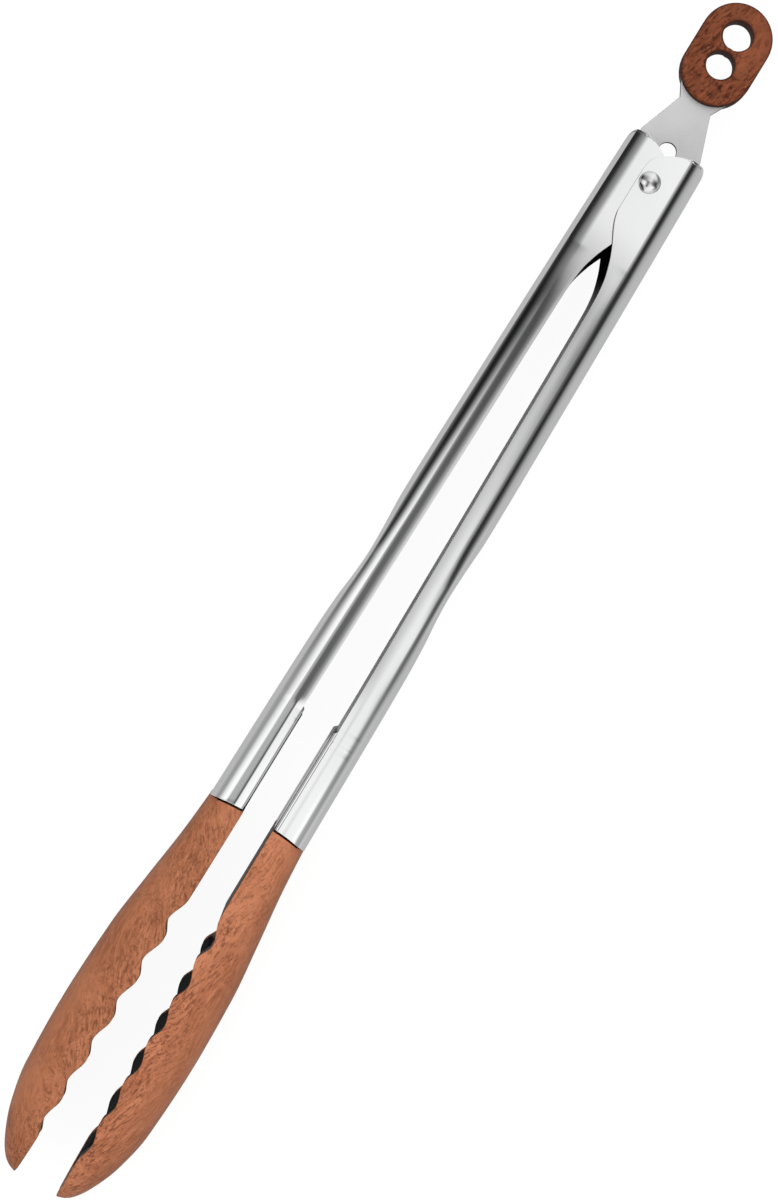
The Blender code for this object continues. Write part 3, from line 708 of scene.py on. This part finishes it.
def flange_profile(name, along, lip_depth):
    """(reach, rise) of the flange from the bend's end to its free edge, and its first tilt."""
    crown = value_at(CROWN_LINE, along) if along > CROWN_LINE[-1][0] else 1.0
    first_tilt = math.radians(GRIP_CROWN[name][-1][1]) * crown
    start = value_at(WEB_LINE, along) - bend_profile(along, first_tilt)[0]
    crowned = smooth_step(along, *SOCKET_BLEND[name])
    folded = smooth_step(along, *FOLD_RUN)
    lip = smooth_step(along, *LIP_RUN)
    edge = value_at(FLANGE_LINE, along)
    fold_start = SOCKET_REACH + SOCKET_BEND
    plain = start - edge
    full = start - fold_start + SOCKET_BEND * math.pi / 2 + lip_depth
    length = plain + (full - plain) * lip
    flat = start - fold_start
    at = np.linspace(0.0, length, PROFILE_SAMPLES)
    grip_tilt = crown * np.interp(start - edge - at, *zip(*GRIP_CROWN[name]))
    socket_tilt = crown * np.interp(start - SOCKET_REACH - at, *zip(*SOCKET_CROWN[name]))
    turn = np.clip((at - flat) / SOCKET_BEND / (math.pi / 2), 0, 1)
    tilt = (1 - crowned) * grip_tilt + crowned * socket_tilt
    tilt = np.radians(tilt - folded * turn * (90.0 + tilt))
    spacing = length / (len(at) - 1)
    reach = start - np.r_[0, np.cumsum(np.cos(tilt[:-1]) * spacing)]
    rise = np.r_[0, np.cumsum(np.sin(tilt[:-1]) * spacing)]
    return resampled(np.stack([reach, rise], axis=1), FLANGE_COLUMNS + 1), first_tilt


def trimmed(points, reach):
    """The part of a line that lies beyond a reach."""
    for index, (before, after) in enumerate(zip(points, points[1:])):
        if after[0] > reach:
            share = (reach - before[0]) / (after[0] - before[0])
            start = (reach, before[1] + share * (after[1] - before[1]))
            return [start] + points[index + 1:]
    return points


def arm_ring(name, lip_depth, along):
    """Outer surface across the arm, from one free edge over the web to the other."""
    side, half_width = SIDE[name], HALF_WIDTH[name]
    web = value_at(WEB_LINE, along)
    line, tilt = flange_profile(name, along, lip_depth)
    bend = [bend_profile(along, a) for a in np.linspace(tilt, math.pi / 2, BEND_COLUMNS + 1)]
    top = bend[0][1]
    web_end = half_width - top - max(line[:, 1])
    flange = [(reach, web_end + top + rise) for reach, rise in line[::-1]]
    corner = [(web - inwards, web_end + height) for inwards, height in bend[1:]]
    edge = value_at(FLANGE_LINE, along)
    if along > EAR_FRONT and flange[-1][0] < edge + EAR_MARGIN:
        kept = trimmed(flange[-1:] + corner, edge) if flange[-1][0] < edge else flange + corner
        kept = resampled(kept, len(flange) + len(corner)).tolist()
        flange, corner = kept[:len(flange)], kept[len(flange):]
    web_part = [(web, web_end * (1 - i / WEB_COLUMNS)) for i in range(1, WEB_COLUMNS + 1)]
    half = flange + corner + web_part
    whole = half + [(reach, -height) for reach, height in reversed(half[:-1])]
    corner_fade = min(max((along - (ARM_BACK - CORNER_RUN)) / CORNER_RUN, 0.0), 1.0) ** 2
    ring = []
    for reach, height in whole:
        u = min(max((reach - (web - BACK_CORNER[0])) / BACK_CORNER[0], 0.0), 1.0)
        drop = BACK_CORNER[1] * (1 - math.sqrt(1 - u * u)) * corner_fade
        share = max(JOINT_ARCH_START - along, 0.0) / (JOINT_ARCH_START - ARM_FRONT)
        ring.append((side * reach, along - drop + share * joint_arch(reach), height))
    return ring


def arm_places():
    """Rows along an arm, closest at its ears and where the socket's lip begins."""
    rows = []
    for (start, step), (end, _) in zip(ARM_MARKS, ARM_MARKS[1:]):
        count = max(2, round((start - end) / step))
        rows += list(np.linspace(start, end, count, endpoint=False))
    return rows + [ARM_FRONT]


def build_arm(name):
    """Pressed channel arm with ears, crowned grip and folded socket."""
    side, half_width = SIDE[name], HALF_WIDTH[name]
    lip_depth = half_width - SOCKET_SEAM[name] - SOCKET_BEND
    rings = [arm_ring(name, lip_depth, along) for along in arm_places()]
    mesh = skin(name, rings, closed=False, capped=False)
    web_face = mesh.polygons[len(rings) // 2 * (len(rings[0]) - 1) + len(rings[0]) // 2]
    if web_face.normal.x * side < 0:
        mesh.flip_normals()
    materials = (POLISHED, INSIDE, CUT_EDGE)
    piece = place(name + "_arm_steel", mesh, None, materials)
    sheet = piece.modifiers.new("Sheet", "SOLIDIFY")
    sheet.thickness = SHEET * MM
    sheet.offset = -1.0
    sheet.material_offset = 1
    sheet.material_offset_rim = 2
    hole = turned(name + "_hole", [
        (0.0, CUTTER_REACH), (HOLE_RADIUS, CUTTER_REACH),
        (HOLE_RADIUS, -CUTTER_REACH), (0.0, -CUTTER_REACH),
    ])
    cut_away(piece, name + "_hole", hole, "Rivet hole")
    edge = piece.modifiers.new("Edge", "BEVEL")
    edge.width = SHEET_EDGE * MM
    edge.material = 2
    edge.segments = 3
    edge.limit_method = "ANGLE"
    edge.angle_limit = math.radians(SHEET_EDGE_ANGLE)
    edge.use_clamp_overlap = True
    normals = piece.modifiers.new("Flat faces", "WEIGHTED_NORMAL")
    normals.keep_sharp = True
    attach(piece, name + "_arm")
    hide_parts(name + "_arm")


# ---------------------------------------------------------------- heads

def scallop(along):
    """How deep the rim is cut at a place: 0 on a scallop's top, 1 in its valley."""
    first_top = SCALLOP_FIRST + SCALLOP_PITCH * (1 - SCALLOP_LEAN)
    last_top = SCALLOP_FIRST - SCALLOP_PITCH * (SCALLOP_COUNT - 1 + SCALLOP_LEAN)
    if along > first_top or along < last_top:
        return 0.0
    phase = ((SCALLOP_FIRST - along) / SCALLOP_PITCH) % 1.0
    if phase < SCALLOP_LEAN:
        turn = 0.5 * phase / SCALLOP_LEAN
    else:
        turn = 0.5 + 0.5 * (phase - SCALLOP_LEAN) / (1 - SCALLOP_LEAN)
    return 0.5 + 0.5 * math.cos(2 * math.pi * turn)


def rim_reach(along, setback=0.0):
    """Reach of the rim, scallops included, cut back by a share of a scallop."""
    share = (SCALLOP_FIRST - along) / (SCALLOP_PITCH * SCALLOP_COUNT)
    first, last = SCALLOP_DEPTH
    depth = first + (last - first) * min(max(share, 0.0), 1.0)
    fade = smooth_step(along, *SETBACK_START) * (1 - smooth_step(along, *SETBACK_END))
    return value_at(RIM_LINE, along) + depth * (scallop(along) + setback * fade)


def tip_share(along):
    """Share of an inset that acts along the head: 0 in the neck, 1 at the tip."""
    return min(max((TIP_START - along) / TIP_RUN, 0.0), 1.0)


def hump(base, depth, width, squareness, limits, count):
    """Rounded arch of (reach, height), top side first, cut off at a reach on each side."""
    shares = [min(max((limit - base) / depth, 0.0), ARCH_CUT_LIMIT) for limit in limits]
    near, far = (math.acos(share ** (squareness / 2)) for share in shares)
    angles = np.linspace(near, -far, ARCH_SAMPLES)
    reach = base + depth * np.abs(np.cos(angles)) ** (2 / squareness)
    height = width * np.sign(angles) * np.abs(np.sin(angles)) ** (2 / squareness)
    return resampled(np.stack([reach, height], axis=1), count)


def head_arch(name, along, inset, count):
    """Arch of the head, smaller all round by inset, above its scalloped rim."""
    setback = inset * TIP_THICKENING
    scaled = along - setback * tip_share(along)
    base = value_at(RIM_LINE, scaled)
    depth = max(value_at(HEAD_LINE, scaled) - inset - base, MIN_DEPTH)
    widths = [(HEAD_BACK, HALF_WIDTH[name])] + HEAD_WIDTHS
    width = max(value_at(widths, scaled) - inset, MIN_WIDTH)
    limits = [rim_reach(along, cut) + RIM_ROUND for cut in (0.0, FAR_EDGE_SETBACK[name])]
    return hump(base, depth, width, value_at(HEAD_SQUARENESS, scaled), limits, count)


def rounded_corner(start, end, corner, count=3):
    """Points that round a corner, both ends left out."""
    points = []
    for i in range(1, count + 1):
        t = i / (count + 1)
        triples = zip(start, end, corner)
        points.append(tuple((1 - t) ** 2 * a + 2 * t * (1 - t) * c + t * t * b for a, b, c in triples))
    return points


def head_places(start, end):
    """Rows along a head, closer together towards the tip."""
    count = round((start - end) / HEAD_STEP)
    shares = [1 - (1 - i / count) ** TIP_CLOSENESS for i in range(count + 1)]
    return [start + (end - start) * share for share in shares]


def arched_ring(side, points, along, back_row):
    """Place (reach, height) points at a row; the first row follows the joint's arch."""
    ring = []
    for reach, height in points:
        shift = joint_arch(reach) if back_row else 0.0
        ring.append((side * reach, along + shift, height))
    return ring


def rim_turn(outer, inner, rim):
    """Rounded rim from the end of an outer arch to the start of an inner one."""
    toward = 1 if inner[1] > outer[1] else -1
    flat_start = (rim, outer[1] + toward * RIM_ROUND)
    flat_end = (rim, inner[1] - toward * RIM_ROUND)
    points = rounded_corner(tuple(outer), flat_start, (rim, outer[1]))
    points += [flat_start, flat_end]
    return points + rounded_corner(flat_end, tuple(inner), (rim, inner[1]))


def build_shell(name, material):
    """Wood-effect shell with a rounded scalloped rim."""
    side, setback = SIDE[name], FAR_EDGE_SETBACK[name]
    rings = []
    inner_tip = -TIP_REACH + SHELL_WALL * TIP_THICKENING
    length = -TIP_REACH - HEAD_BACK
    for index, along in enumerate(head_places(HEAD_BACK - JOINT_SHADOW, -TIP_REACH)):
        inner_along = HEAD_BACK + (along - HEAD_BACK) * (inner_tip - HEAD_BACK) / length
        outer = head_arch(name, along, 0.0, SHELL_POINTS[0])
        inner = head_arch(name, inner_along, SHELL_WALL, SHELL_POINTS[1])[::-1]
        rim, far_rim = rim_reach(along), rim_reach(along, setback)
        inner_rim, inner_far_rim = rim_reach(inner_along), rim_reach(inner_along, setback)
        ring = arched_ring(side, outer, along, index == 0)
        far = rim_turn(outer[-1], inner[0], far_rim)
        near = rim_turn(inner[-1], outer[0], rim)
        for i, (reach, height) in enumerate(far):
            share = i / (len(far) - 1)
            reach += (inner_far_rim - far_rim) * share
            ring.append((side * reach, along + (inner_along - along) * share, height))
        ring += arched_ring(side, inner, inner_along, index == 0)
        for i, (reach, height) in enumerate(near):
            share = 1 - i / (len(near) - 1)
            reach += (inner_rim - rim) * share
            ring.append((side * reach, along + (inner_along - along) * share, height))
        rings.append(ring)
    mesh = skin(name + "_shell", rings)
    body = name + "_arm"
    piece = place(name + "_head_wood_shell", mesh, body, (material,), sharp=50.0)
    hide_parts(name + "_head_shell")


def hollow_line(along, half, rims, edge_height, count):
    """Inner surface of the core from its far land to its near one."""
    share = min(max((HOLLOW_BACK - along) / HOLLOW_RUN_IN, 0.0), 1.0)
    depth_share = math.sin(share * math.pi / 2)
    inset = HOLLOW_INSET + HOLLOW_NARROWING * (1 - share)
    scaled = along - HOLLOW_INSET * TIP_THICKENING * tip_share(along)
    widths = [(HEAD_BACK, half)] + HEAD_WIDTHS
    width = min(max(value_at(widths, scaled) - inset, MIN_WIDTH), edge_height - LAND_WIDTH)
    base = value_at(RIM_LINE, scaled)
    depth = max((value_at(HEAD_LINE, scaled) - inset - base) * depth_share, 0.0)
    squareness = value_at(HEAD_SQUARENESS, scaled)
    line = []
    for i in range(count):
        across = -math.cos(math.pi * i / (count - 1))
        floor = base + depth * max(1 - abs(across) ** squareness, 0.0) ** (1 / squareness)
        rim = rims[0] + (rims[1] - rims[0]) * (across + 1) / 2
        line.append((max(rim, floor), width * across))
    return line


def build_core(name):
    """Black core: shank in the socket, then the scoop's lining."""
    side, half = SIDE[name], HALF_WIDTH[name]
    arch_count, hollow_count = CORE_POINTS
    limits = (SHANK_INNER + SHANK_CUT,) * 2
    rings = []
    for along in np.linspace(SHANK_BACK, HEAD_BACK + SHANK_END_GAP, SHANK_ROWS):
        depth = value_at(WEB_LINE, max(along, ARM_FRONT)) - SHANK_INSET - SHANK_INNER
        squareness = HEAD_SQUARENESS[0][1]
        arch = hump(SHANK_INNER, depth, half - SHANK_INSET, squareness, limits, arch_count)
        edge = arch[-1][1]
        shares = [1 - 2 * i / (hollow_count - 1) for i in range(hollow_count)]
        flat = [(SHANK_INNER, edge * share * SHANK_FLAT_SHARE) for share in shares]
        rings.append(arched_ring(side, list(arch) + flat, along, False))
    tip = -TIP_REACH + CORE_INSET * TIP_THICKENING
    for along in head_places(HEAD_BACK, tip):
        arch = head_arch(name, along, CORE_INSET, arch_count)
        rims = (rim_reach(along, FAR_EDGE_SETBACK[name]), rim_reach(along))
        edge_height = min(abs(arch[0][1]), abs(arch[-1][1]))
        line = hollow_line(along, half, rims, edge_height, hollow_count)
        rings.append(arched_ring(side, list(arch) + line, along, False))
    mesh = skin(name + "_core", rings)
    body = name + "_arm"
    piece = place(name + "_head_black_core", mesh, body, (BLACK,), sharp=50.0)
    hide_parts(name + "_head_core")


# ---------------------------------------------------------------- pivot

def build_rivet():
    """Rivet with a domed head at each end."""
    seat = HALF_WIDTH["right"] + STACK_GAP
    dome = [(0.0, seat + RIVET_HEAD_HEIGHT)]
    for i in range(1, DOME_STEPS + 1):
        share = i / DOME_STEPS
        height = (1 - share ** RIVET_FLATNESS) ** (1 / RIVET_FLATNESS)
        rise = RIVET_HEAD_LIP + (RIVET_HEAD_HEIGHT - RIVET_HEAD_LIP) * height
        dome.append((RIVET_HEAD_RADIUS * share, seat + rise))
    half = dome + [(RIVET_HEAD_RADIUS - RIVET_UNDERCUT, seat), (RIVET_RADIUS, seat)]
    profile = half + [(r, -h) for r, h in reversed(half)]
    piece = place("rivet", turned("rivet", profile), "pivot", (RIVET,))
    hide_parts("pivot_rivet")


def build_spacers():
    """Two spacer tubes on the rivet."""
    start = TAB_THICKNESS / 2 + STACK_GAP
    end = HALF_WIDTH["left"] - SHEET - STACK_GAP
    bore, edge = RIVET_RADIUS + CLEARANCE, SPACER_EDGE
    for name, low, high in (("upper", start, end), ("lower", -end, -start)):
        profile = [
            (bore, high), (SPACER_RADIUS - edge, high), (SPACER_RADIUS, high - edge),
            (SPACER_RADIUS, low + edge), (SPACER_RADIUS - edge, low), (bore, low),
        ]
        tube = turned(name, profile)
        piece = place("spacer_tube_" + name, tube, "pivot", (MATT,))
        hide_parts("spacer_" + name)


def coil(start, end):
    """Part of the coil's centre line, by share of its turns."""
    path = []
    for share in np.linspace(start, end, COIL_STEPS + 1):
        angle = math.pi - 2 * math.pi * COIL_TURNS * share
        height = COIL_TOP + (COIL_BOTTOM - COIL_TOP) * share
        path.append((COIL_RADIUS * math.cos(angle), COIL_RADIUS * math.sin(angle), height))
    return path


def build_spring():
    """Torsion spring in two pieces, each winding from the middle of the coil to one arm."""
    left_leg = [(-reach, along, COIL_TOP) for reach, along in (LEG_END, LEG_KNEE, LEG_START)]
    right_leg = [(reach, along, COIL_BOTTOM) for reach, along in (LEG_START, LEG_KNEE, LEG_END)]
    halves = (
        ("spring_upper", left_leg + coil(0, 0.5), "left_arm", COIL_TOP - WIRE_RADIUS),
        ("spring_lower", coil(0.5, 1) + right_leg, "right_arm", COIL_BOTTOM + WIRE_RADIUS),
    )
    for name, path, arm, height in halves:
        mesh = wire(name, path, WIRE_RADIUS)
        piece = place(name, mesh, None, (SPRING,), sharp=60.0)
        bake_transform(piece)
        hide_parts("torsion_spring")


# ---------------------------------------------------------------- tab and ring

def joined_holes(grow):
    """Outline round both hanging holes at once."""
    (back, back_radius), (front, front_radius) = RING_HOLES
    upper = arc((0.0, back), (back_radius + grow, back_radius + grow), 0, 180, TANG_STEPS)
    front_radius += grow
    return upper + arc((0.0, front), (front_radius, front_radius), 180, 360, TANG_STEPS)


def build_tab():
    """Flat lock tab with its slot."""
    half, back, front = SLOT
    slot = arc((0.0, back - half), (half, half), 0, 180, SLOT_STEPS)
    slot += arc((0.0, front + half), (half, half), 180, 360, SLOT_STEPS)
    shoulder_half, shoulder_back, shoulder_front = SHOULDER
    right = [
        TAB_FRONT, (shoulder_half, shoulder_front), (shoulder_half, shoulder_back),
        NECK, (TANG_HALF, TANG_FRONT),
    ]
    left = [(-x, y) for x, y in reversed(right)]
    outline = right + arc((0.0, TANG_CENTRE), (TANG_HALF, TANG_HALF), 0, 180, TANG_STEPS) + left
    loops = [outline, slot, joined_holes(TAB_HOLE_ROOM)]
    mesh = plate("tab", loops, TAB_THICKNESS, TAB_EDGE, 2)
    for face in mesh.polygons:
        face.material_index = 0 if abs(face.normal.z) > 0.9 else 1
    piece = place("lock_plate", mesh, "lock_tab", (MATT, CUT_EDGE))
    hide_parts("lock_tab")


def build_ring():
    """Pull ring in two halves that close on the tab."""
    (back, front), radii = RING_CENTRES, (RING_RADIUS, RING_RADIUS)
    outline = arc((0.0, back), radii, 0, 180, RING_STEPS)
    outline += arc((0.0, front), radii, 180, 360, RING_STEPS)
    last = 360 - 360 / RING_HOLE_STEPS
    holes = [arc((0.0, along), (r, r), 0, last, RING_HOLE_STEPS - 1) for along, r in RING_HOLES]
    cut_front, cut_back, cut_thickness = RING_CUT
    block = [
        (-CUTTER_REACH, cut_front), (CUTTER_REACH, cut_front),
        (CUTTER_REACH, cut_back), (-CUTTER_REACH, cut_back),
    ]
    for name, sign in (("front", 1), ("back", -1)):
        mesh = plate("ring", [outline] + holes, RING_THICKNESS, RING_EDGE, 6)
        materials = (RING_WOOD,)
        ring = place("ring_half_" + name, mesh, None, materials, sharp=50.0)
        other = plate("other", [block], cut_thickness, 0.0, 0)
        other.transform(Matrix.Translation((0, 0, -sign * (cut_thickness / 2 - RING_OVERLAP))))
        room = [pocket(), joined_holes(POCKET_HOLE_ROOM)]
        for tool in (other, plate("pocket", room, TAB_THICKNESS + POCKET_GAP, 0.0, 0)):
            cut_away(ring, tool.name, tool, "Cut")
        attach(ring, "lock_tab")
        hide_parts("ring_" + name)


def pocket():
    """Room for the tang between the ring's halves, open at their front."""
    neck, half = NECK[0] + POCKET_ROOM, TANG_HALF + POCKET_ROOM
    right = [(neck, POCKET_FRONT), (neck, NECK[1]), (half, TANG_FRONT - POCKET_ROOM)]
    left = [(-x, y) for x, y in reversed(right)]
    return right + arc((0.0, TANG_CENTRE), (half, half), 0, 180, TANG_STEPS) + left


# ---------------------------------------------------------------- studio

def build_floor():
    """Pale plain floor."""
    mesh = bpy.data.meshes.new("floor")
    half = FLOOR_HALF
    corners = [(-half, -half, 0), (half, -half, 0), (half, half, 0), (-half, half, 0)]
    mesh.from_pydata(corners, [], [(0, 1, 2, 3)])
    floor = linked("floor", mesh)
    n = Nodes("floor")
    grey = (FLOOR_GREY, FLOOR_GREY, FLOOR_GREY, 1.0)
    n.shade(Base_Color=grey, Roughness=0.9, Specular_IOR_Level=0.0)
    rays = n.add("ShaderNodeLightPath")
    glow = n.range(rays.outputs["Is Glossy Ray"], *FLOOR_GLOW)
    camera_ray = rays.outputs["Is Camera Ray"]
    seen = n.add("ShaderNodeMath", {0: camera_ray, 1: FLOOR_SEEN}, operation="MULTIPLY")
    both = n.add("ShaderNodeMath", {0: glow, 1: seen.outputs[0]}, operation="ADD")
    n.shade(Emission_Color=(1.0, 1.0, 1.0, 1.0), Emission_Strength=both.outputs[0])
    mesh.materials.append(n.material)


# What the steel reflects, as display levels. Rows go round the tongs by angle, 0 straight
# up and positive to the right; columns go by direction along the tongs.
CARD_COLUMNS = (0.60, 0.34, 0.20, 0.16, 0.09, 0.04, 0.0, -0.05, -0.10, -0.28, -0.45)
CARD_ROWS = (
    (-120, (200, 175, 175, 175, 175, 178, 180, 180, 182, 182, 60)),
    (-85, (200, 47, 47, 100, 110, 130, 150, 165, 180, 180, 30)),
    (-70, (205, 33, 33, 29, 62, 62, 111, 150, 150, 150, 24)),
    (-52, (210, 60, 60, 21, 19, 40, 150, 152, 158, 158, 24)),
    (-40, (215, 109, 109, 50, 67, 130, 200, 200, 220, 220, 34)),
    (-25, (225, 140, 140, 80, 160, 221, 248, 230, 253, 253, 90)),
    (-14, (235, 165, 165, 80, 201, 243, 248, 247, 253, 253, 190)),
    (-7, (240, 205, 205, 70, 90, 100, 100, 93, 80, 80, 215)),
    (-3, (240, 215, 215, 75, 76, 93, 94, 93, 90, 90, 225)),
    (0, (240, 232, 232, 115, 150, 150, 150, 141, 130, 130, 230)),
    (3, (240, 242, 242, 187, 205, 205, 205, 202, 207, 207, 235)),
    (9, (235, 170, 170, 117, 190, 230, 234, 235, 237, 237, 240)),
    (20, (225, 56, 56, 60, 110, 147, 238, 220, 253, 253, 240)),
    (30, (200, 34, 34, 43, 40, 46, 238, 190, 253, 253, 240)),
    (40, (150, 85, 85, 56, 50, 34, 130, 140, 170, 170, 235)),
    (50, (110, 150, 150, 149, 110, 70, 90, 110, 160, 160, 225)),
    (60, (95, 170, 170, 165, 150, 125, 120, 150, 150, 150, 215)),
    (70, (120, 175, 175, 175, 170, 160, 150, 175, 185, 185, 205)),
    (85, (160, 181, 181, 184, 174, 194, 175, 190, 195, 195, 200)),
    (120, (170, 180, 180, 180, 180, 185, 185, 188, 190, 190, 200)),
)
STEEL_LEVEL = 0.9


def card_level(display):
    """Brightness of a card that shows at a display level, 0 to 255, in the steel."""
    share = display / 255
    return ((share + 0.055) / 1.055) ** 2.4 / STEEL_LEVEL


def studio_world():
    """Even soft light, with light and dark cards that only the reflections show."""
    world = bpy.data.worlds.new("studio")
    bpy.context.scene.world = world
    world.use_nodes = True
    tree = world.node_tree
    background = tree.nodes["Background"]
    output = tree.nodes["World Output"]

    def add(kind, **settings):
        node = tree.nodes.new(kind)
        for key, value in settings.items():
            setattr(node, key, value)
        return node

    coordinates = add("ShaderNodeTexCoord")
    parts = add("ShaderNodeSeparateXYZ")
    tree.links.new(coordinates.outputs["Generated"], parts.inputs[0])
    angle = add("ShaderNodeMath", operation="ARCTAN2")
    tree.links.new(parts.outputs["X"], angle.inputs[0])
    tree.links.new(parts.outputs["Z"], angle.inputs[1])
    turn = add("ShaderNodeMapRange")
    turn.inputs["From Min"].default_value = -math.pi
    turn.inputs["From Max"].default_value = math.pi
    tree.links.new(angle.outputs[0], turn.inputs["Value"])
    mixed = None
    for column, place_along in enumerate(CARD_COLUMNS):
        ramp = add("ShaderNodeValToRGB")
        stops = [
            ((degrees + 180) / 360, card_level(levels[column])) for degrees, levels in CARD_ROWS
        ]
        fill_ramp(ramp.color_ramp, stops)
        tree.links.new(turn.outputs["Result"], ramp.inputs["Fac"])
        if mixed is None:
            mixed = ramp.outputs["Color"]
            continue
        share = add("ShaderNodeMapRange")
        share.inputs["From Min"].default_value = CARD_COLUMNS[column - 1]
        share.inputs["From Max"].default_value = place_along
        tree.links.new(parts.outputs["Y"], share.inputs["Value"])
        blend = add("ShaderNodeMix", data_type="RGBA")
        tree.links.new(share.outputs["Result"], blend.inputs[0])
        tree.links.new(mixed, blend.inputs[6])
        tree.links.new(ramp.outputs["Color"], blend.inputs[7])
        mixed = blend.outputs[2]
    cards = add("ShaderNodeBackground")
    tree.links.new(mixed, cards.inputs["Color"])
    sky = add("ShaderNodeValToRGB")
    fill_ramp(sky.color_ramp, SKY_RAMP)
    tree.links.new(parts.outputs["Z"], sky.inputs["Fac"])
    tree.links.new(sky.outputs["Color"], background.inputs["Color"])
    background.inputs["Strength"].default_value = SKY_STRENGTH
    rays = add("ShaderNodeLightPath")
    pick = add("ShaderNodeMixShader")
    tree.links.new(rays.outputs["Is Glossy Ray"], pick.inputs[0])
    tree.links.new(background.outputs[0], pick.inputs[1])
    tree.links.new(cards.outputs[0], pick.inputs[2])
    tree.links.new(pick.outputs[0], output.inputs["Surface"])


def build_lights():
    """One big soft light from the upper left of the view."""
    data = bpy.data.lights.new("soft_box", "AREA")
    data.shape = "DISK"
    data.size = LAMP_SIZE
    data.energy = LAMP_POWER
    lamp = linked("soft_box", data)
    lamp.location = LAMP_PLACE
    lamp.rotation_euler = (Vector((0, 0, 0)) - lamp.location).to_track_quat("-Z", "Y").to_euler()
    lamp.visible_glossy = False


def build_camera():
    """Camera straight above the tongs, at the photograph's turn and scale."""
    data = bpy.data.cameras.new("camera")
    data.sensor_fit = "VERTICAL"
    data.sensor_height = SENSOR
    data.lens = SENSOR * VIEW_DISTANCE / VIEW_HEIGHT
    data.clip_start = 0.01
    camera = linked("camera", data)
    target = Vector((VIEW_CENTRE[0], VIEW_CENTRE[1], PIVOT[2]))
    spot = target + Vector((VIEW_OFFSET, 0.0, VIEW_DISTANCE))
    turn = math.radians(VIEW_TURN)
    up = Vector((-math.sin(turn), math.cos(turn), 0.0))
    backward = (spot - target).normalized()
    right = up.cross(backward).normalized()
    up = backward.cross(right)
    camera.matrix_world = Matrix((
        (right.x, up.x, backward.x, spot.x),
        (right.y, up.y, backward.y, spot.y),
        (right.z, up.z, backward.z, spot.z),
        (0.0, 0.0, 0.0, 1.0),
    ))
    bpy.context.scene.camera = camera


build_camera()
for arm in ("left", "right"):
    build_arm(arm)
    build_core(arm)
build_shell("left", SHADED_LEFT_WOOD)
build_shell("right", LIT_RIGHT_WOOD)
build_rivet()
build_spacers()
build_spring()
build_tab()
build_ring()
build_floor()
build_lights()
studio_world()
bpy.context.scene.view_settings.view_transform = "Standard"
